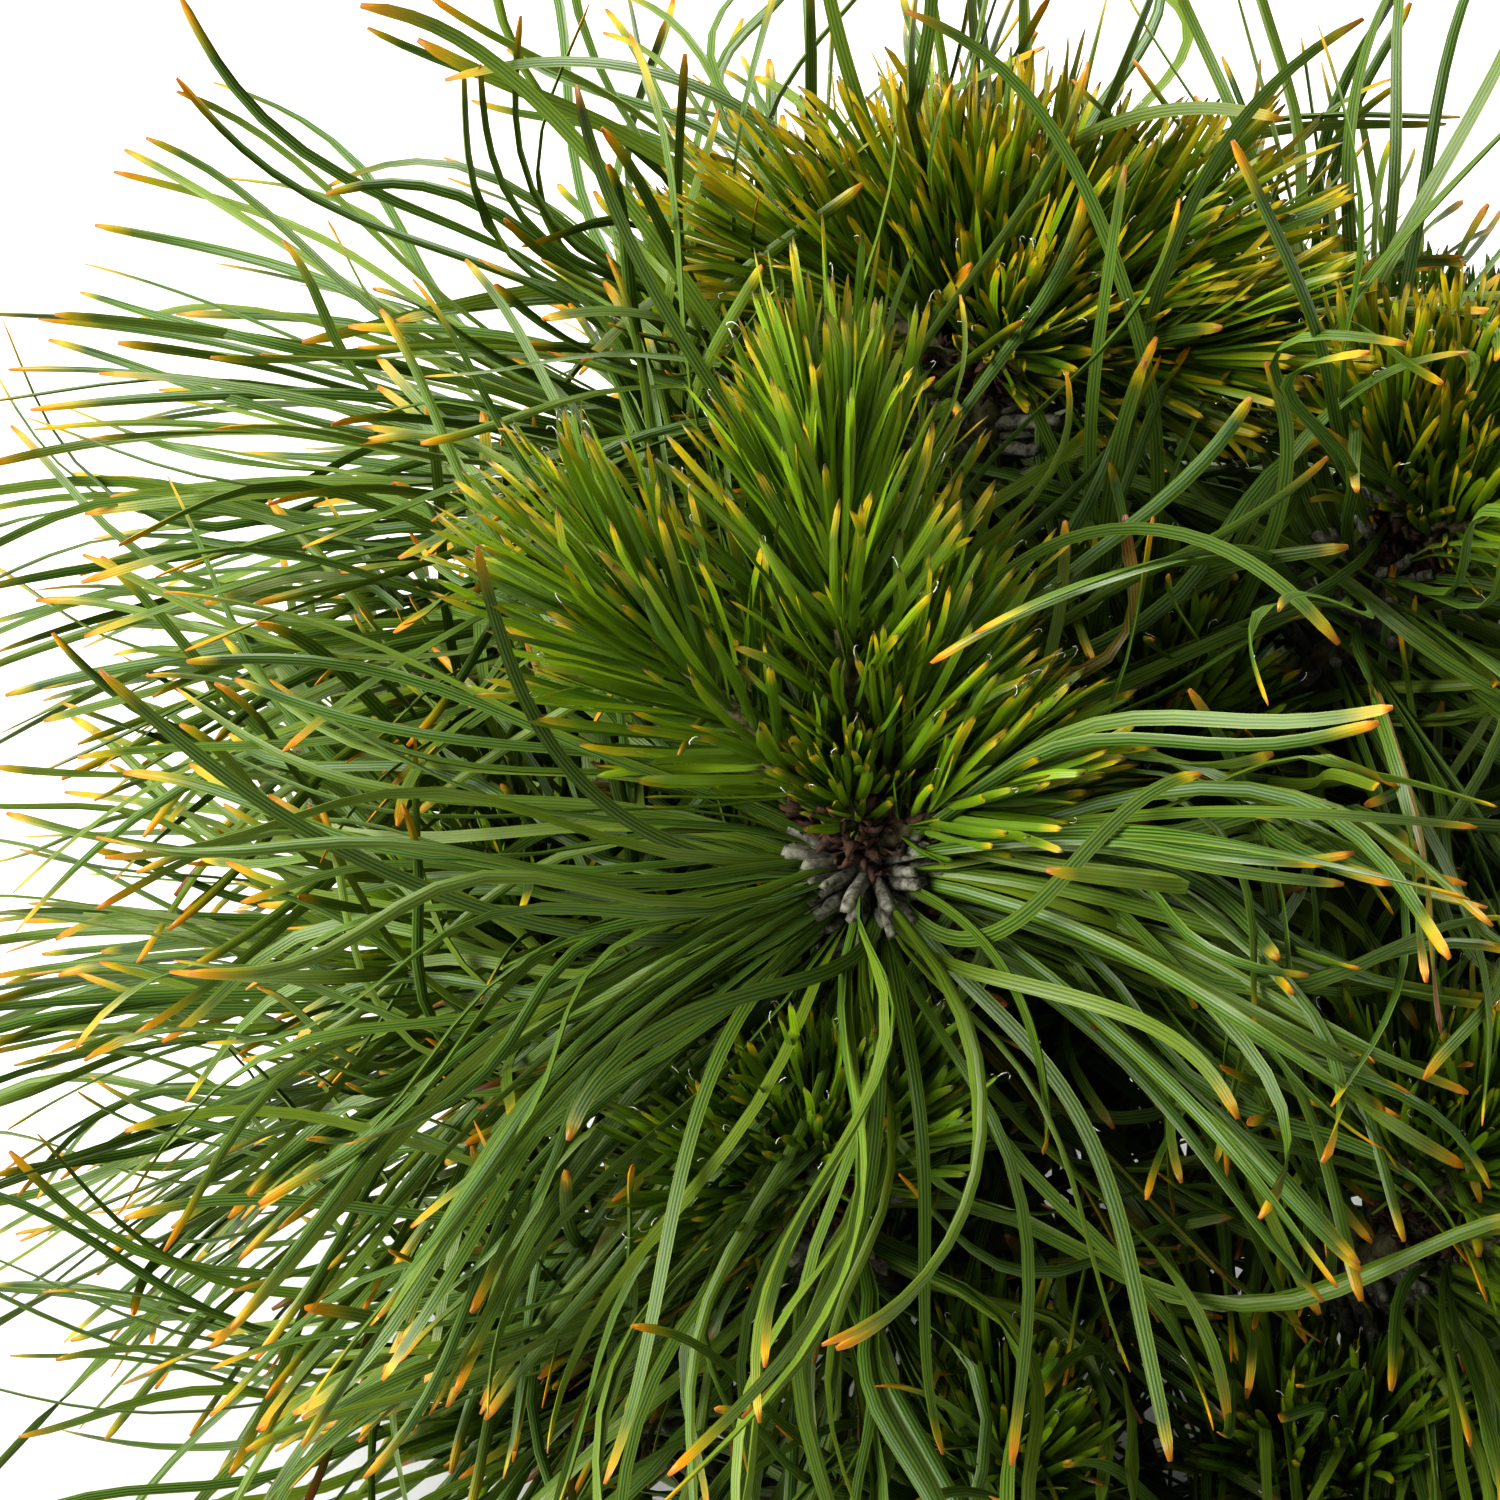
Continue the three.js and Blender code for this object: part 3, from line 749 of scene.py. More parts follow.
def plan_old(shoot, draw):
    """Roots, directions and shapes of a shoot's long needles, two for each pair."""
    traits = {**ORDINARY, **SPECIAL.get(shoot["name"], {})}
    pairs = traits["pairs"]
    i = np.arange(pairs)
    share = (i + draw.uniform(0, 1, pairs)) / pairs
    around = i * GOLDEN_ANGLE + draw.normal(0, STRAYING, pairs)
    parting = draw.uniform(0, 2 * math.pi)
    if traits["parting"] is not None:
        parting = math.radians(traits["parting"])
    around = around + PARTED * np.sin(3 * (around - parting))
    spread = np.radians(mix(traits["least"], traits["most"], share ** 0.8))
    spread = spread + draw.normal(0, STRAYING, pairs)
    spread = np.where(draw.uniform(0, 1, pairs) < traits["upright"], UPRIGHT_SPREAD, spread)
    axis = np.broadcast_to(shoot["direction"], (pairs, 3))
    outward = sideways(axis, around)
    root = (shoot["whorl"] - axis * mix(*OLD_ZONE, share)[:, None]
            + outward * STEM_RADIUS * ROOTED_AT)
    # Neighbours flow together: the same slow wave bends, sags and sways the pairs side by side.
    flow = np.sin(around * 2 + draw.uniform(0, 6)) * 0.5 + np.sin(around * 5 + 4 * share) * 0.5
    first = aside(axis, np.clip(spread * FIRST_SLANT, LEAST_SLANT, None), around)
    drawn_over = unit(root * [1, 1, 0])
    if traits["towards"] is not None:
        drawn_over = tilted(traits["towards"], 90)
    last = aside(axis, spread * LAST_SLANT, around + 0.16 * flow)
    last = unit(last + drawn_over * traits["comb"])
    droop = mix(0.15, 0.75, share) + 0.2 * flow + draw.normal(0, 0.12, pairs)
    sunny = smooth_step(-0.2, 0.7, outward[:, 0])
    curled = draw.uniform(0, 1, pairs) < CURLED_SHARE * mix(0.4, 1.6, sunny)
    bent = np.where(curled, CURLED, mix(0.25, 0.6, sunny))
    pair = {"root": root, "first": first, "last": last,
            "sag": np.clip(droop, 0, 1.3) * traits["sag"],
            "sway": 0.2 + np.abs(draw.normal(0, 0.2, pairs)),
            "waves": draw.uniform(0.9, 1.7, pairs),
            "phase": 0.3 * flow + draw.normal(0, 0.08, pairs),
            "length": draw.uniform(*OLD_LENGTH, pairs) * traits["reach"]
            * mix(1.0, traits["sunny_reach"] * draw.uniform(0.75, 1.0, pairs), sunny),
            "curl": np.clip(draw.normal(0, 1, pairs), -1.4, 1.4) * bent,
            "width": mix(0.92, 1.12, sunny),
            "bend": unit(np.cross(axis, outward) + UP * flow[:, None]
                         + draw.normal(0, 0.3, (pairs, 3))),
            "spin": unit(draw.normal(0, 1, (pairs, 3)))}
    edge = math.radians(traits["bare_reach"])
    on_bare_side = smooth_step(math.cos(edge + 0.15), math.cos(edge - 0.15),
                               unit(outward * [1, 1, 0]) @ tilted(traits["bare"], 90))
    kept = draw.uniform(0, 1, pairs) > traits["lost"] * on_bare_side
    pair = {key: value[kept] for key, value in pair.items()}
    count = 2 * kept.sum()
    both = paired(pair, draw.uniform(0, 2, (count, 1)) * PAIR_OPENING)
    both["phase"] = both["phase"] + draw.normal(0, 0.04, count)
    both["length"] = both["length"] * draw.uniform(0.93, 1.0, count)
    both["width"] = both["width"] * draw.uniform(*OLD_WIDTH, count)
    both["curl"] = both["curl"] + draw.normal(0, 0.15, count)
    both["twist"] = draw.normal(0, 1.6, count)
    return both


def above_ground(plan, stations):
    """The needles of a plan whose whole length stays clear of the ground."""
    lines = needle_lines(plan, stations)[0]
    clear = lines[..., 2].min(axis=1) > GROUND_CLEARANCE
    keep = clear.reshape(-1, 2).all(axis=1).repeat(2)
    return {key: value[keep] for key, value in plan.items()}


print("long needles are", [round(length / MM) for length in OLD_LENGTH], "mm long on most shoots")

# %% [markdown]
# The boughs below keep some needles of earlier years. They are shorter, duller and partly dead,
# and their colour is darkened further as painted shade for the inside of the crown. They are what
# the eye meets when it looks into the crown, where bare wood and the ground would show otherwise.

# %% Planning the older needles
OLDER_PAIRS = 44                       # on each bough
OLDER_FROM = 0.35                      # the share of the bough below which it is bare
OLDER_ROOTED_AT = 0.7                  # of the stem's radius
OLDER_SPREAD = (0.9, 1.5)              # from the bough, in radians
OLDER_LENGTH = (40, 60)                # millimetres
OLDER_DEAD_SHARE = 0.08
# Age and painted shade: the older needles' colour is darkened for the inside of the crown.
OLDER_AGE_AND_SHADE = 0.55                 # brightness against last year's


def plan_older(path, draw):
    """The needles of earlier years that still stand on the outer part of a bough."""
    pairs = OLDER_PAIRS
    place = np.linspace(len(path) * OLDER_FROM, len(path) - 2, pairs).astype(int)
    axis = unit(path[place + 1] - path[place])
    around = np.arange(pairs) * GOLDEN_ANGLE + draw.normal(0, 0.2, pairs)
    outward = sideways(axis, around)
    spread = draw.uniform(*OLDER_SPREAD, pairs)
    pair = {"root": path[place] + outward * STEM_RADIUS * OLDER_ROOTED_AT,
            "first": aside(axis, spread * FIRST_SLANT, around),
            "last": aside(axis, spread, around),
            "sag": draw.uniform(0.0, 0.6, pairs), "sway": np.abs(draw.normal(0.1, 0.1, pairs)),
            "waves": draw.uniform(0.7, 1.5, pairs), "phase": draw.uniform(0, 1, pairs),
            "length": draw.uniform(*OLDER_LENGTH, pairs) * MM,
            "bend": unit(draw.normal(0, 1, (pairs, 3))),
            "spin": unit(draw.normal(0, 1, (pairs, 3)))}
    both = paired(pair, draw.uniform(0, 2, (2 * pairs, 1)) * PAIR_OPENING)
    both["width"] = draw.uniform(*OLD_WIDTH, 2 * pairs)
    both["curl"] = draw.normal(0, 0.3, 2 * pairs)
    both["twist"] = draw.normal(0, 1.6, 2 * pairs)
    return both


print("older pairs:", OLDER_PAIRS * len(bough_paths))

# %% [markdown]
# The shoots' needles are joined in four pieces, which keeps each below 200,000 triangles. Where
# each pair is rooted is kept too, because a sheath will stand there.

# %% Long and older needles
YELLOW_TIP = (0.025, 0.085)            # share of the length that it takes up
TIP_STEP = 29                          # deals the tips' lengths out among the tints
sheath_roots, sheath_aims = [], []


def joined_plans(plans):
    """Several plans as one."""
    return {key: np.concatenate([plan[key] for plan in plans]) for key in plans[0]}


def old_mesh(name, plan, stations, draw, dead_share, age_and_shade_brightness):
    """A piece of long needles from a plan, each dealt a tint. Its colours are scaled by a
    brightness that stands for age and for painted shade.
    """
    places, faces, on_needle, number = blades(
        plan, stations, SECTION_OLD, np.interp(stations, *OLD_PROFILE), 1.0)
    count = len(plan["length"])
    dead = draw.uniform(0, 1, count) < dead_share
    column = np.where(dead, BAKE_COLUMNS - 1, draw.integers(0, BAKE_COLUMNS - 1, count))
    tint = (column + 0.5) / BAKE_COLUMNS
    tip = mix(*YELLOW_TIP, ((column * TIP_STEP) % BAKE_COLUMNS) / BAKE_COLUMNS)
    colours = old_colours(on_needle, number, tint, tip) * age_and_shade_brightness
    return mesh_from(name, places, faces, colours, on_needle, column[number], SECTION_OLD)


def old_piece(name, group, seed):
    """The long needles of several shoots as one piece."""
    draw = np.random.default_rng(seed)
    plan = joined_plans([above_ground(plan_old(shoot, draw), STATIONS_OLD) for shoot in group])
    sheath_roots.append((plan["root"][::2] + plan["root"][1::2]) / 2)
    sheath_aims.append(plan["first"][::2])
    return old_mesh(name, plan, STATIONS_OLD, draw, DEAD_SHARE, 1.0)


OLD_GROUPS = [shoots[0:4], shoots[4:9], shoots[9:13], shoots[13:17]]
old_needles = [old_piece(f"long_needles_{i + 1}", group, 100 + i)
               for i, group in enumerate(OLD_GROUPS)]
draw = np.random.default_rng(150)
older_plan = joined_plans([above_ground(plan_older(path, draw), STATIONS_OLDER)
                           for path in bough_paths])
older_needles = old_mesh("older_needles", older_plan, STATIONS_OLDER, draw,
                         OLDER_DEAD_SHARE, OLDER_AGE_AND_SHADE)
print("long needles:", [triangles(piece) for piece in old_needles], "triangles")
print("older needles:", triangles(older_needles), "triangles")

# %% [markdown]
# ### Needles that stand out
#
# A crown is never combed as evenly as a rule makes it. Some long needles rise through the
# candles, hang over the whorl or hook back at their tips, and they give a plant its own look.
# They are listed one by one. Each is told by its shoot, by three places that it passes in the view,
# a third and two thirds along and at its tip, and by how much nearer to the camera the tip lies
# than the whorl.

# %% Where the stray needles pass
STRAYS = [
    # shoot, three places in millimetres right of and above the view's middle, millimetres nearer
    ("front_left", (9, 16), (-6, 41), (-16, 67), 12),
    ("top", (-3, 40), (-18, 60), (-41, 75), 18),
    ("top", (8, 50), (-12, 61), (-33, 70), 14),
    ("top", (12, 54), (-7, 67), (-29, 66), 22),
    ("back_left", (-2, 40), (-16, 48), (-35, 46), 25),
    ("back_left", (-2, 42), (-24, 45), (-46, 41), 30),
    ("front_left", (-7, -8), (-20, 5), (-27, 22), 26),
    ("middle", (40, 25), (34, 54), (14, 75), 30),
    ("top", (23, 52), (36, 62), (54, 62), 24),
    ("top", (30, 49), (36, 65), (42, 81), 24),
    ("middle", (37, 24), (43, 52), (61, 75), 34),
    ("middle", (38, 15), (38, 37), (40, 58), 40),
    ("middle", (33, 10), (34, 25), (37, 40), 36),
    ("right", (57, 38), (68, 58), (74, 81), 22),
    ("right", (56, 35), (67, 53), (81, 68), 22),
    ("right", (61, 38), (60, 60), (67, 81), 10),
    ("middle", (38, 9), (47, 18), (60, 24), 30),
    ("front_left", (20, 10), (40, 21), (63, 13), 25),
    ("middle", (46, 13), (54, 31), (71, 40), 30),
    ("middle", (46, 9), (53, 24), (52, 40), 30),
    ("top", (15, 48), (16, 66), (15, 83), 20),
    ("top", (20, 50), (22, 66), (24, 82), 20),
    ("top", (17, 49), (11, 65), (7, 81), 14),
    ("front_left", (22, -22), (37, -26), (50, -37), 30),
    ("front_left", (7, -23), (-8, -29), (-19, -41), 34),
    ("front_left", (27, -9), (43, -12), (30, -10), 24),
    ("front_left", (24, -18), (35, -11), (46, -3), 30),
    ("front_left", (21, -19), (27, -31), (28, -42), 26),
    ("front_left", (24, -29), (34, -50), (38, -73), 30),
    ("front_left", (15, -32), (15, -53), (17, -73), 34),
    ("front_left", (13, -33), (10, -52), (-1, -68), 30),
    ("front_left", (-2, -30), (-8, -52), (-14, -75), 26),
    ("front_left", (-16, -20), (-42, -9), (-64, 9), 30),
]
by_name = {shoot["name"]: shoot for shoot in shoots}
stray_shoots = [by_name[row[0]] for row in STRAYS]
eye = aim - looking * CAMERA_DISTANCE


def places_in_view(row, whorl):
    """A stray needle's three places. From the whorl to the tip it comes nearer step by step."""
    spots = np.array(row[1:4]) * MM / CAMERA_DISTANCE
    rays = looking + spots[:, :1] * view_right + spots[:, 1:] * view_up
    away = (whorl - eye) @ looking - row[4] * MM * np.array([1, 2, 3]) / 3
    return eye + rays * away[:, None]


stray_places = [places_in_view(row, shoot["whorl"]) for row, shoot in zip(STRAYS, stray_shoots)]
print("stray needles:", len(STRAYS), "on", len(set(row[0] for row in STRAYS)), "shoots")

# %% [markdown]
# A cubic curve through the root and the three places gives a needle's course and its length. Its
# two middle corners follow from the wish that it meets the places at even shares of its run. The
# root stands on the side of the stem that faces the first place.

# %% Stray needles
STRAY_ROOT = 1.2 * MM                   # from the stem's middle
STRAY_DEPTH = (3, 8)                    # millimetres below the whorl
STRAY_WIDTH = (1.4, 1.7)                # millimetres
# Painted shade: the strays' colour is darkened, because in front of the crown they catch more light
# than the needles round them.
STRAY_SHADED_BRIGHTNESS = 0.85                  # brightness against the other long needles
COURSE_POINTS = 200


def course_through(root, places, stations):
    """Headings at the stations, and the length, of the cubic curve from a root through places."""
    a, (b, c, d) = root, places
    line = bezier([a, (-5 * a + 18 * b - 9 * c + 2 * d) / 6,
                   (2 * a - 9 * b + 18 * c - 5 * d) / 6, d], np.linspace(0, 1, COURSE_POINTS))
    steps = np.diff(line, axis=0)
    run = np.cumsum(np.linalg.norm(steps, axis=1))
    heading = [np.interp(stations, run / run[-1], steps[:, i]) for i in range(3)]
    return unit(np.stack(heading, axis=1)), run[-1]


draw = np.random.default_rng(170)
stray_count = len(STRAYS)
stray_axis = np.array([shoot["direction"] for shoot in stray_shoots])
stray_whorl = np.array([shoot["whorl"] for shoot in stray_shoots])
stray_side = np.array([places[0] for places in stray_places]) - stray_whorl
stray_side = stray_side - stray_axis * np.sum(stray_side * stray_axis, axis=1)[:, None]
stray_root = (stray_whorl + unit(stray_side) * STRAY_ROOT
              - stray_axis * draw.uniform(*STRAY_DEPTH, (stray_count, 1)) * MM)
stray_courses = [course_through(root, places, STATIONS_STRAY)
                 for root, places in zip(stray_root, stray_places)]
sheath_roots.append(stray_root)
sheath_aims.append(np.array([course[0] for course, _ in stray_courses]))
stray_plan = {
    "root": stray_root,
    "course": np.array([course for course, _ in stray_courses]),
    "length": np.array([length for _, length in stray_courses]),
    "width": draw.uniform(*STRAY_WIDTH, stray_count) * MM,
    "sag": np.zeros(stray_count),
    "sway": draw.uniform(0.05, 0.16, stray_count),
    "waves": draw.uniform(1.0, 1.6, stray_count),
    "phase": draw.uniform(0, 1, stray_count),
    "curl": draw.normal(0, 0.1, stray_count),
    "twist": draw.normal(0, 0.7, stray_count),
    "bend": unit(draw.normal(0, 1, (stray_count, 3))),
    "spin": unit(draw.normal(0, 0.3, (stray_count, 3)) - looking)}
stray_needles = old_mesh("stray_needles", stray_plan, STATIONS_STRAY, draw, 0.0, STRAY_SHADED_BRIGHTNESS)
print("stray needles in", triangles(stray_needles), "triangles")
print("their lengths in millimetres:", np.round(np.sort(stray_plan["length"]) / MM).astype(int))

# %% [markdown]
# ### This year's short needles
#
# A candle is a brush. Its pairs follow the golden angle from foot to tip, lean out at the foot
# and stand nearly upright at the tip, and the lowest are the shortest. Its foot is bare but for
# the bud's scales. The same functions as before make these needles, only with fewer points.

# %% Planning a candle's short needles
NEW_PAIRS_AT_LEAST = 26
NEW_PAIRS_PER_MM = 2.4                 # more for each millimetre of the candle
BARE_FOOT = 7 * MM                     # or a quarter of a short candle
NEW_ROOTED_AT = 0.7                    # millimetres from the candle's middle
NEW_WIDTH = (0.78 * MM, 1.1 * MM)
NEW_OPENING = (0.02, 0.14)             # of each needle away from its twin, in radians
NEW_LAST_SLANT = 0.8                   # at its tip, against its spread
NEW_GROWN = ([0, 0.4, 1], [0.5, 1.0, 1.0])  # length from the candle's foot to its tip
THREAD_SHARE = 0.12                    # of the needles keep a dry thread on their point
NEW_SPREAD = (math.radians(62), math.radians(16))      # from the candle, at its foot and its tip
NEW_PROFILE = np.array([0.6, 0.9, 1, 0.95, 0.72, 0.2])  # share of the width at the stations


def plan_new(candle, draw):
    """Roots, directions and shapes of one candle's short needles."""
    direction, length = candle["direction"], candle["length"]
    pairs = NEW_PAIRS_AT_LEAST + round(NEW_PAIRS_PER_MM * length / MM)
    i = np.arange(pairs)
    share = ((i + 0.5) / pairs) ** 0.8
    around = i * GOLDEN_ANGLE + draw.normal(0, 0.1, pairs)
    axis = np.broadcast_to(direction, (pairs, 3))
    outward = sideways(axis, around)
    bare = min(BARE_FOOT / length, 0.25)
    root = (candle["foot"] + axis * (length * mix(bare, 1.0, share))[:, None]
            + outward * NEW_ROOTED_AT * MM)
    spread = mix(*NEW_SPREAD, share) + draw.normal(0, 0.06, pairs)
    first = aside(axis, spread, around)
    last = aside(axis, spread * NEW_LAST_SLANT, around)
    grown = np.interp(share, *NEW_GROWN)
    pair = {"root": root, "first": first, "last": last,
            "spin": unit(draw.normal(0, 1, (pairs, 3))),
            "bend": unit(draw.normal(0, 1, (pairs, 3))),
            "length": candle["needle"] * grown * draw.uniform(0.85, 1.15, pairs)}
    both = paired(pair, draw.uniform(*NEW_OPENING, (2 * pairs, 1)))
    count = 2 * pairs
    both["width"] = draw.uniform(*NEW_WIDTH, count)
    both["sway"] = np.abs(draw.normal(0, 0.05, count))
    both["waves"] = draw.uniform(0.4, 0.8, count)
    both["phase"] = draw.uniform(0, 1, count)
    both["sag"] = np.zeros(count)
    both["curl"] = draw.normal(0, 0.25, count)
    both["twist"] = draw.normal(0, 0.6, count)
    return both


longest = max(candle["length"] for candle in candles)
print("the longest candle is", round(longest / MM), "mm long")

# %% [markdown]
# The candles' needles are joined in three pieces. Some needles keep a dry thread on their point,
# so the places and headings of those points are noted for later.

# %% Short needles
NEW_THICKNESS = 0.9                    # of the blade, against its section as listed
YELLOWING_SPREAD = 0.2                  # among the needles of one candle
thread_points, thread_aims = [], []


def new_piece(name, group, seed):
    """The short needles of several candles as one piece."""
    draw = np.random.default_rng(seed)
    plans = [plan_new(candle, draw) for candle in group]
    plan = joined_plans(plans)
    places, faces, on_needle, number = blades(
        plan, STATIONS_NEW, SECTION_NEW, NEW_PROFILE, NEW_THICKNESS)
    lines, heading = needle_lines(plan, STATIONS_NEW)
    threaded = draw.uniform(0, 1, len(lines)) < THREAD_SHARE
    thread_points.append(lines[threaded, -1])
    thread_aims.append(heading[threaded, -1])
    # Each candle's yellowing, partly painted light and shade, dealt out with a spread among its
    # needles.
    yellowing_and_light = np.concatenate([np.full(len(p["length"]), candle["yellowing_and_light"])
                               for p, candle in zip(plans, group)])
    dealt = np.clip(draw.normal(yellowing_and_light, YELLOWING_SPREAD), 0, 0.999)
    column = (BAKE_COLUMNS * dealt).astype(int)
    colours = new_colours(on_needle, number, (column + 0.5) / BAKE_COLUMNS)
    return mesh_from(name, places, faces, colours, on_needle, column[number], SECTION_NEW)


NEW_GROUPS = []
for start, end in ((0, 4), (4, 10), (10, 17)):
    names = [shoot["name"] for shoot in shoots[start:end]]
    NEW_GROUPS.append([candle for candle in candles if candle["shoot"] in names])
new_needles = [new_piece(f"short_needles_{i + 1}", group, 200 + i)
               for i, group in enumerate(NEW_GROUPS)]
print("short needles:", [triangles(piece) for piece in new_needles], "triangles")

# %% [markdown]
# ## Materials
#
# A pine needle is waxy: a clear skin over green tissue, with lines of pale breathing pores that
# run the whole way along it, about five to the millimetre. The wax gives a soft sheen that is
# neither wet nor dull. The green is painted on the vertices already, so the material only adds
# what is too fine for them: the pore lines, which read the needle's own map, and a faint
# mottling. An image could hold both, but nodes stay sharp however near the camera comes.

# %% Needle material
# The lines are about 0.3 mm apart across the blade, coarser than the real ones, which would be
# too fine to show.
OLD_PORE_LINES, NEW_PORE_LINES = 4, 3
LINE_COLOUR = linear("#607f2a")
LINES_FADE = (0.88, 0.97)               # along the needle, where its green gives way to the tip
MOTTLE_SIZE = 3.85 * MM                 # patches where the green is a little darker or paler
LINE_RELIEF = 0.04 * MM
WAX_IOR, WAX_SPECULAR = 1.45, 0.38      # plant wax, a little dulled by dust
MIX_SHARE, MIX_LOW, MIX_HIGH, MIX_RESULT = 0, 6, 7, 2  # the Mix node's sockets for colours


def needle_material(name, lines, line_strength, roughness):
    """Waxy needle: the painted tint, pale lines along the blade and fine mottling."""
    material, tree, shader = new_material(name)
    tint = add_node(tree, "ShaderNodeAttribute", {"attribute_name": "tint"})
    place = add_node(tree, "ShaderNodeUVMap", {"uv_map": "needle"})
    parts = add_node(tree, "ShaderNodeSeparateXYZ", inputs={"Vector": place.outputs["UV"]})
    phase = add_node(tree, "ShaderNodeMath", {"operation": "MULTIPLY"},
                     {0: parts.outputs["X"], 1: lines * 2 * math.pi})
    wave = add_node(tree, "ShaderNodeMath", {"operation": "COSINE"}, {0: phase.outputs[0]})
    strength = add_node(tree, "ShaderNodeMapRange", {},
                        {"Value": parts.outputs["Y"], "From Min": LINES_FADE[0],
                         "From Max": LINES_FADE[1], "To Min": line_strength, "To Max": 0.1})
    line = add_node(tree, "ShaderNodeMapRange", {},
                    {"Value": wave.outputs[0], "From Min": -1.0, "From Max": 1.0,
                     "To Min": 0.0, "To Max": strength.outputs[0]})
    where = add_node(tree, "ShaderNodeTexCoord")
    mottle = add_node(tree, "ShaderNodeTexNoise", {},
                      {"Vector": where.outputs["Object"], "Scale": 1 / MOTTLE_SIZE,
                       "Detail": 3.0})
    tone = add_node(tree, "ShaderNodeMapRange", {},
                    {"Value": mottle.outputs["Fac"], "To Min": 0.55, "To Max": 1.25})
    shaded = add_node(tree, "ShaderNodeVectorMath", {"operation": "SCALE"},
                      {0: tint.outputs["Color"], "Scale": tone.outputs[0]})
    colour = add_node(tree, "ShaderNodeMix", {"data_type": "RGBA"},
                      {MIX_SHARE: line.outputs[0], MIX_LOW: shaded.outputs[0],
                       MIX_HIGH: (*LINE_COLOUR, 1)})
    bump = add_node(tree, "ShaderNodeBump", {},
                    {"Height": wave.outputs[0], "Strength": 0.25, "Distance": LINE_RELIEF})
    tree.links.new(colour.outputs[MIX_RESULT], shader.inputs["Base Color"])
    tree.links.new(bump.outputs[0], shader.inputs["Normal"])
    shader.inputs["Roughness"].default_value = roughness
    shader.inputs["IOR"].default_value = WAX_IOR
    shader.inputs["Specular IOR Level"].default_value = WAX_SPECULAR
    return material


# Last year's wax has weathered: a broad, quiet sheen, and pore lines that stand out.
old_wax = needle_material("waxy_old_pine_needle", OLD_PORE_LINES, 0.8, 0.43)
# This year's wax is fresh: a tighter sheen over a green that is nearly even.
new_wax = needle_material("waxy_new_pine_needle", NEW_PORE_LINES, 0.3, 0.36)
for piece in (*old_needles, older_needles, stray_needles):
    piece.data.materials.append(old_wax)
for piece in new_needles:
    piece.data.materials.append(new_wax)
print("needle materials:", old_wax.name, new_wax.name)

# %% [markdown]
# Pine bark is grey-brown and matt: pale on the plates' weathered faces, red-brown and dark in
# the fissures, and green-brown on the youngest stems. Scales, sheaths and threads are as dry and
# matt as bark, in other colours and with a finer grain, so one function makes them all.

# %% Bark and other dry skins
FLAKE_RELIEF = 0.4 * MM
DRY_ROUGHNESS = 0.88


def dry_material(name, dark, pale, flake):
    """A matt, dry skin: noise at the size of its flakes mixes two tones and roughens it."""
    material, tree, shader = new_material(name)
    where = add_node(tree, "ShaderNodeTexCoord")
    flakes = add_node(tree, "ShaderNodeTexNoise", {},
                      {"Vector": where.outputs["Object"], "Scale": 1 / flake, "Detail": 8.0,
                       "Roughness": 0.65})
    ramp = add_node(tree, "ShaderNodeMapRange", {},
                    {"Value": flakes.outputs["Fac"], "From Min": 0.35, "From Max": 0.68})
    colour = add_node(tree, "ShaderNodeMix", {"data_type": "RGBA"},
                      {MIX_SHARE: ramp.outputs[0], MIX_LOW: (*linear(dark), 1),
                       MIX_HIGH: (*linear(pale), 1)})
    bump = add_node(tree, "ShaderNodeBump", {},
                    {"Height": flakes.outputs["Fac"], "Strength": 0.7, "Distance": FLAKE_RELIEF})
    tree.links.new(colour.outputs[MIX_RESULT], shader.inputs["Base Color"])
    tree.links.new(bump.outputs[0], shader.inputs["Normal"])
    shader.inputs["Roughness"].default_value = DRY_ROUGHNESS
    return material


# Flaking grey plates over brown: rough, and uneven from flake to flake.
old_bark = dry_material("old_pine_bark", "#2b2019", "#8a7a66", 2.38 * MM)
# A thin skin that is still partly green, with a finer grain.
young_bark = dry_material("young_pine_bark", "#3a2d1c", "#8f8a62", 1.43 * MM)
trunk.data.materials.append(old_bark)
boughs.data.materials.append(old_bark)
stems.data.materials.append(young_bark)
print("bark materials:", old_bark.name, young_bark.name)

# %% [markdown]
# ## Sheaths, scales and threads
#
# Three small things repeat all over the plant: the papery sheath round the foot of each pair of
# long needles, the brown scales that the buds shed round every whorl, and the dry white thread
# that still hangs from the point of a young needle. Each is one small shape copied to many
# places, which is work for Geometry Nodes: the tree takes a mesh of points, each with a
# direction and a size, puts the shape on every point, turns it to the direction with a random
# roll, and makes the copies real. Taking the result as a plain mesh then leaves one piece.

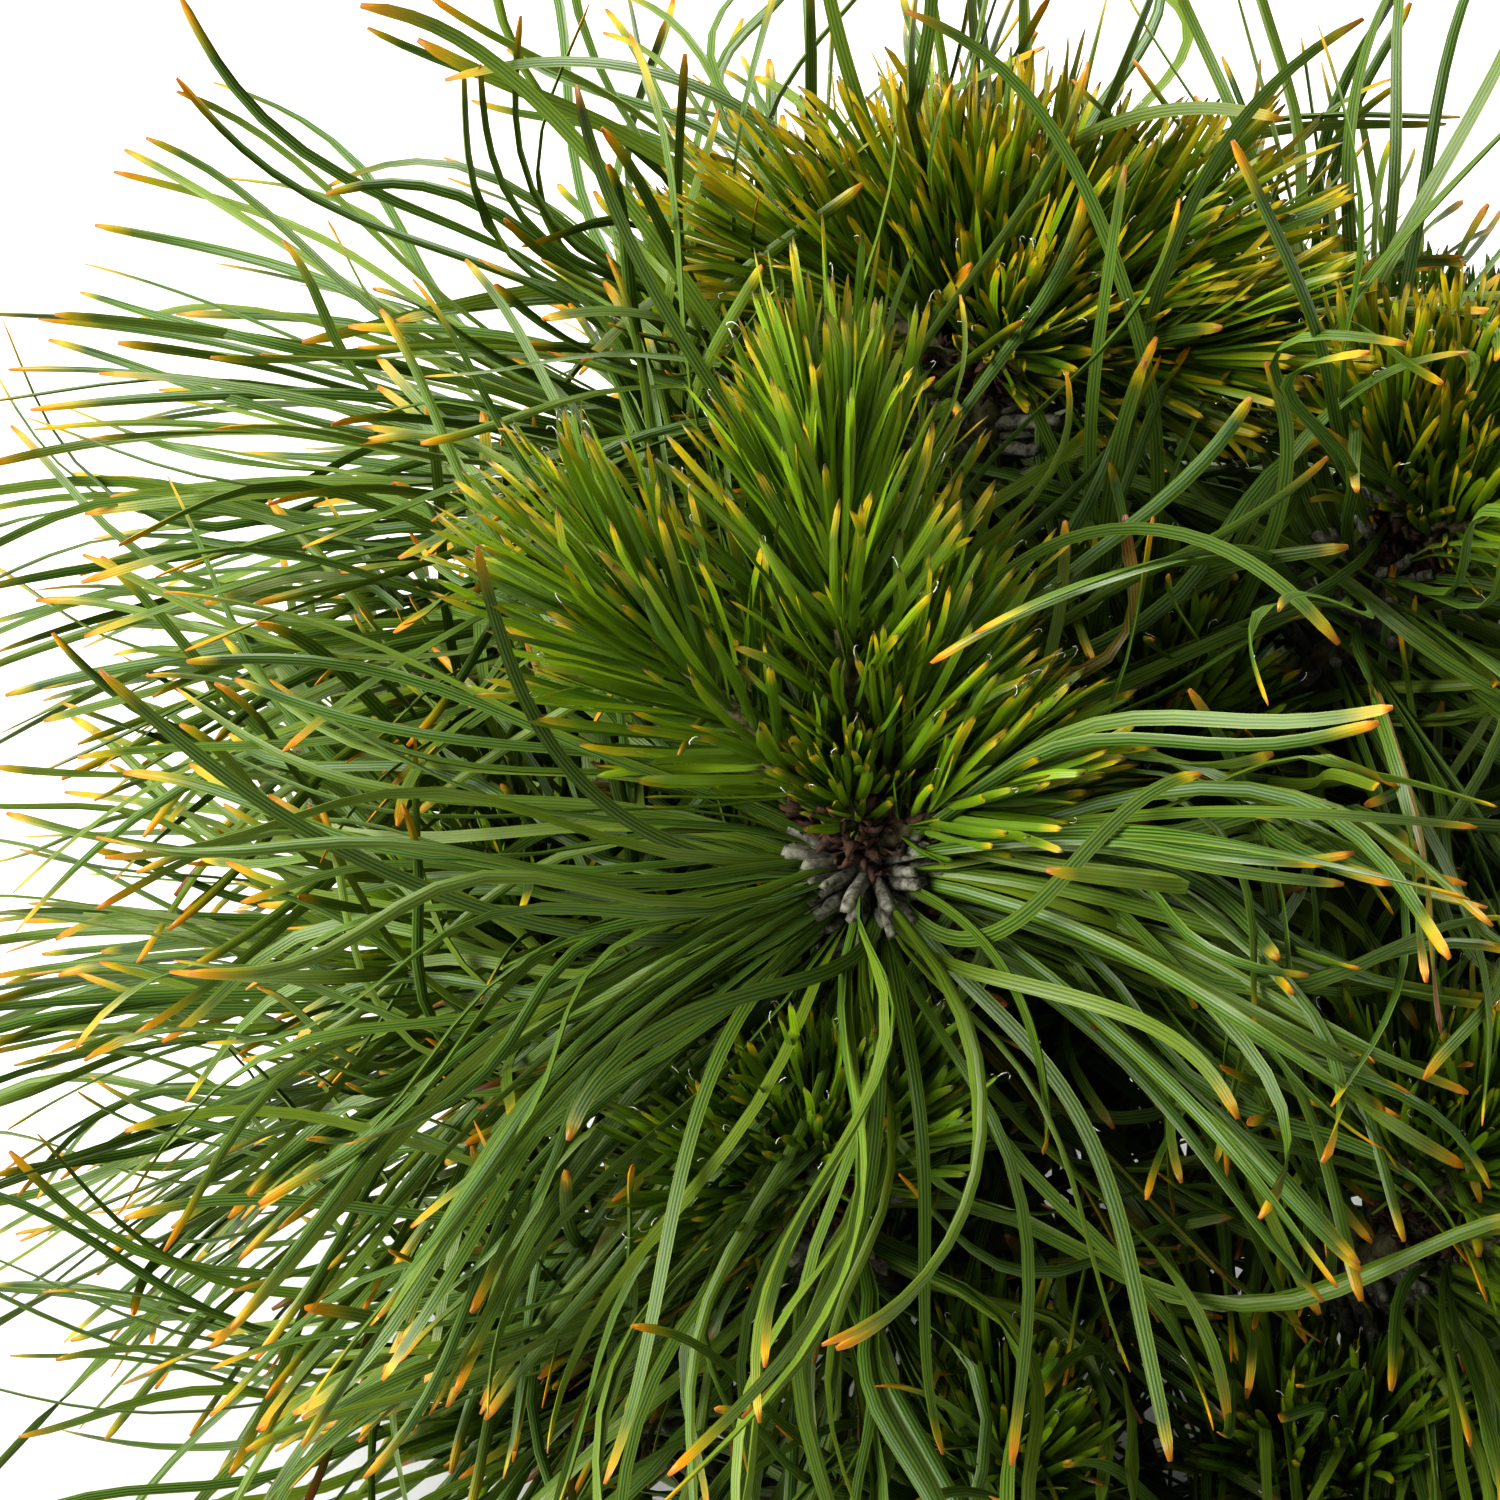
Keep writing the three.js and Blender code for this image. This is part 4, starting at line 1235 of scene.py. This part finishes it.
# %% A tree that scatters one shape over points
def scatter_tree():
    """Geometry Nodes: a shape on every point, turned to its aim and scaled to its size."""
    tree = bpy.data.node_groups.new("shape_on_every_point", "GeometryNodeTree")
    sockets = {}
    for name, kind in (("Points", "Geometry"), ("Shape", "Object"), ("Surface", "Material"),
                       ("Seed", "Int")):
        sockets[name] = tree.interface.new_socket(
            name, in_out="INPUT", socket_type="NodeSocket" + kind).identifier
    tree.interface.new_socket("Mesh", in_out="OUTPUT", socket_type="NodeSocketGeometry")
    given = add_node(tree, "NodeGroupInput")
    shape = add_node(tree, "GeometryNodeObjectInfo", inputs={"Object": given.outputs["Shape"]})
    aim = add_node(tree, "GeometryNodeInputNamedAttribute", {"data_type": "FLOAT_VECTOR"},
                   {"Name": "aim"})
    size = add_node(tree, "GeometryNodeInputNamedAttribute", {"data_type": "FLOAT_VECTOR"},
                    {"Name": "size"})
    along = add_node(tree, "FunctionNodeAlignRotationToVector", {"axis": "Z"},
                     {"Vector": aim.outputs["Attribute"]})
    roll = add_node(tree, "FunctionNodeRandomValue", {"data_type": "FLOAT"},
                    {"Seed": given.outputs["Seed"]})
    roll.inputs[3].default_value = 2 * math.pi  # the most a float may be; the least is 0
    turn = add_node(tree, "FunctionNodeAxisAngleToRotation", inputs={"Angle": roll.outputs[1]})
    rolled = add_node(tree, "FunctionNodeRotateRotation", {"rotation_space": "LOCAL"},
                      {"Rotation": along.outputs[0], "Rotate By": turn.outputs[0]})
    copies = add_node(tree, "GeometryNodeInstanceOnPoints", inputs={
        "Points": given.outputs["Points"], "Instance": shape.outputs["Geometry"],
        "Rotation": rolled.outputs[0], "Scale": size.outputs["Attribute"]})
    real = add_node(tree, "GeometryNodeRealizeInstances",
                    inputs={"Geometry": copies.outputs["Instances"]})
    clad = add_node(tree, "GeometryNodeSetMaterial", inputs={
        "Geometry": real.outputs["Geometry"], "Material": given.outputs["Surface"]})
    add_node(tree, "NodeGroupOutput", inputs={"Mesh": clad.outputs["Geometry"]})
    return tree, sockets


SCATTER, SCATTER_SOCKETS = scatter_tree()


def scattered(name, points, aims, sizes, shape, surface, seed):
    """A piece made of one shape on every point, as a plain mesh."""
    cloud = bpy.data.meshes.new(name + "_points")
    cloud.from_pydata(points.tolist(), [], [])
    for attribute, values in (("aim", aims), ("size", sizes)):
        layer = cloud.attributes.new(attribute, "FLOAT_VECTOR", "POINT")
        layer.data.foreach_set("vector", values.astype(np.float32).ravel())
    carrier = new_object(name + "_carrier", cloud)
    modifier = carrier.modifiers.new("scatter", "NODES")
    modifier.node_group = SCATTER
    modifier[SCATTER_SOCKETS["Shape"]] = shape
    modifier[SCATTER_SOCKETS["Surface"]] = surface
    modifier[SCATTER_SOCKETS["Seed"]] = seed
    view = bpy.context.evaluated_depsgraph_get()
    mesh = bpy.data.meshes.new_from_object(carrier.evaluated_get(view))
    mesh.name = name
    bpy.data.objects.remove(carrier)
    bpy.data.meshes.remove(cloud)
    return new_object(name, mesh)


def pattern(name, places, faces):
    """A small shape for scattering, kept out of the scene."""
    mesh = bpy.data.meshes.new(name)
    mesh.from_pydata(places, [], faces)
    mesh.polygons.foreach_set("use_smooth", [True] * len(faces))
    return bpy.data.objects.new(name, mesh)


def as_corners(quads, ends):
    """The faces of a small tube as a list, the form that a mesh from lists takes."""
    return [tuple(int(corner) for corner in face) for face in (*quads, *ends)]


print("inputs of the tree:", list(SCATTER_SOCKETS))

# %% [markdown]
# A sheath is a wrinkled grey tube of dead bud scales. It holds the feet of two needles and is
# torn at its mouth.

# %% Sheaths
SHEATH_LENGTH, SHEATH_RADIUS = 7 * MM, 0.85 * MM
SHEATH_SIDES = 7
SHEATH_SIZES = (0.8, 1.1)               # the least and the most, against the ordinary one
# Each ring's height and radius, as shares of the sheath's: it bulges and narrows by turns.
SHEATH_RINGS = [(0, 0.75), (0.2, 1.0), (0.4, 0.88), (0.6, 0.98), (0.8, 0.86), (1.0, 0.8)]
TORN = 0.12                             # of the length, which every other corner stands out
WRINKLE = 0.07                          # of the radius
sheath_places = []
for ring, (height, radius) in enumerate(SHEATH_RINGS):
    for corner in range(SHEATH_SIDES):
        around = corner * 2 * math.pi / SHEATH_SIDES
        torn = TORN * (corner % 2) * (ring == len(SHEATH_RINGS) - 1)
        wide = radius * (1 + WRINKLE * math.sin(3 * around + ring * 2.2)) * SHEATH_RADIUS
        sheath_places.append((math.cos(around) * wide, math.sin(around) * wide,
                              (height + torn) * SHEATH_LENGTH))
sheath_shape = pattern("sheath", sheath_places,
                       as_corners(*tube_faces(len(SHEATH_RINGS), SHEATH_SIDES)))

# Dead skin, thin as paper: pale grey over brown, without any sheen.
papery = dry_material("dry_papery_scale", "#2a271c", "#94937f", 0.91 * MM)
draw = np.random.default_rng(71)
sheath_points = np.concatenate(sheath_roots)
sheath_sizes = draw.uniform(*SHEATH_SIZES, (len(sheath_points), 1)) * [1, 1, 1]
sheaths = scattered("needle_sheaths", sheath_points, np.concatenate(sheath_aims),
                    sheath_sizes, sheath_shape, papery, 5)
print("sheaths:", len(sheath_points), "in", triangles(sheaths), "triangles")

# %% [markdown]
# A bud scale is a small pointed tongue that curls back as it dries. They ring the foot of every
# candle and cover the whorl between them.

# %% Bud scales
scale_places = [(-0.5, 0, 0), (0.5, 0, 0), (-0.42, 0.2, 0.7), (0.42, 0.2, 0.7),
                (-0.2, 0.62, 1.15), (0.2, 0.62, 1.15), (0, 1.1, 1.2),
                (0, -0.16, 0), (0, 0.04, 0.72), (0, 0.48, 1.22)]
scale_faces = [(0, 7, 8, 2), (7, 1, 3, 8), (2, 8, 9, 4), (8, 3, 5, 9), (4, 9, 6), (9, 5, 6),
               (0, 2, 3, 1), (2, 4, 5, 3), (4, 6, 5), (0, 1, 7)]
scale_shape = pattern("bud_scale", scale_places, scale_faces)
SCALES_ON_CANDLE = 44
SCALED_FOOT = 8 * MM                    # of the candle, on which they stand
SCALE_ROOT = 1.5 * MM                   # from the candle's middle
SCALE_WIDTH = (0.9, 2.0)                # millimetres
# Resin darkens the brown scales, and their colour is darkened further as painted shade for the
# hollow of the whorl; they are paler where the resin has flaked off.
resin_and_shade_scale = dry_material("bud_scale_resin_and_painted_shade", "#160f0a", "#5c3a24", 1.25 * MM)
scale_points, scale_aims, scale_sizes = [], [], []
for candle in candles:
    share = draw.uniform(0, 1, SCALES_ON_CANDLE) ** 1.5
    axis = np.broadcast_to(candle["direction"], (SCALES_ON_CANDLE, 3))
    outward = sideways(axis, np.arange(SCALES_ON_CANDLE) * GOLDEN_ANGLE)
    foot_length = min(SCALED_FOOT, candle["length"])
    scale_points.append(candle["foot"] + axis * (share * foot_length)[:, None]
                        + outward * SCALE_ROOT)
    scale_aims.append(unit(axis * draw.uniform(0.1, 1, (SCALES_ON_CANDLE, 1)) + outward))
    size = draw.uniform(*SCALE_WIDTH, (SCALES_ON_CANDLE, 1)) * MM
    scale_sizes.append(size * [1, 1, 1.2])
scales = scattered("bud_scales", np.concatenate(scale_points), np.concatenate(scale_aims),
                   np.concatenate(scale_sizes), scale_shape, resin_and_shade_scale, 6)
print("bud scales in", triangles(scales), "triangles")

# %% [markdown]
# A thread is the dried end of a young needle: white, a millimetre long and hooked. Only some
# needles still have one.

# %% Threads
THREAD_LINE = [(0, -0.3), (0.05, 0.35), (0.25, 0.75), (0.6, 0.85), (0.8, 0.6)]  # right and up, mm
THREAD_SIZES = (0.6, 1.2)               # the least and the most, against the ordinary one
THREAD_SECTION = [(-0.05, -0.04, 0), (0.05, -0.04, 0.03), (0, 0.05, 0)]
thread_places = [(x + dx, dy, z + dz) for x, z in THREAD_LINE for dx, dy, dz in THREAD_SECTION]
thread_shape = pattern("thread", thread_places,
                       as_corners(*tube_faces(len(THREAD_LINE), len(THREAD_SECTION))))
# Dead fibre without any sap: white, so it stands out against the dark of the crown.
dry_thread = dry_material("dry_white_thread", "#b8b2a4", "#f2efe6", 1.11 * MM)
thread_count = sum(len(points) for points in thread_points)
thread_sizes = draw.uniform(*THREAD_SIZES, (thread_count, 1)) * MM * [1, 1, 1]
threads = scattered("needle_threads", np.concatenate(thread_points),
                    np.concatenate(thread_aims), thread_sizes, thread_shape, dry_thread, 7)
print("threads:", thread_count, "in", triangles(threads), "triangles")

# %% [markdown]
# ## Handing the pieces over
#
# Each piece stands for the solids whose place it takes. The whole plant is one body that the
# ground holds, so everything rides on the root.

# %% What stands for what
foliage_of = {shoot["name"]: f"foliage_{shoot['name']}" for shoot in shoots}
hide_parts("trunk")
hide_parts(*[f"bough_{shoot['name']}" for shoot in shoots[1:]])
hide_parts(*foliage_of.values())
for piece, group in zip(old_needles, OLD_GROUPS):
    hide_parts(*[foliage_of[shoot["name"]] for shoot in group])
for piece, group in zip(new_needles, NEW_GROUPS):
    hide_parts(*sorted({foliage_of[candle["shoot"]] for candle in group}))
for piece in (sheaths, scales, threads, older_needles):
    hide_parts(*foliage_of.values())
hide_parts(*sorted({foliage_of[shoot["name"]] for shoot in stray_shoots}))

for piece in (trunk, boughs, stems, sheaths, scales):
    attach(piece, "root")
for piece in (*old_needles, *new_needles, older_needles, stray_needles, threads):
    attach(piece, "root")
print("solids replaced:", 1 + len(bough_paths) + len(foliage_of))
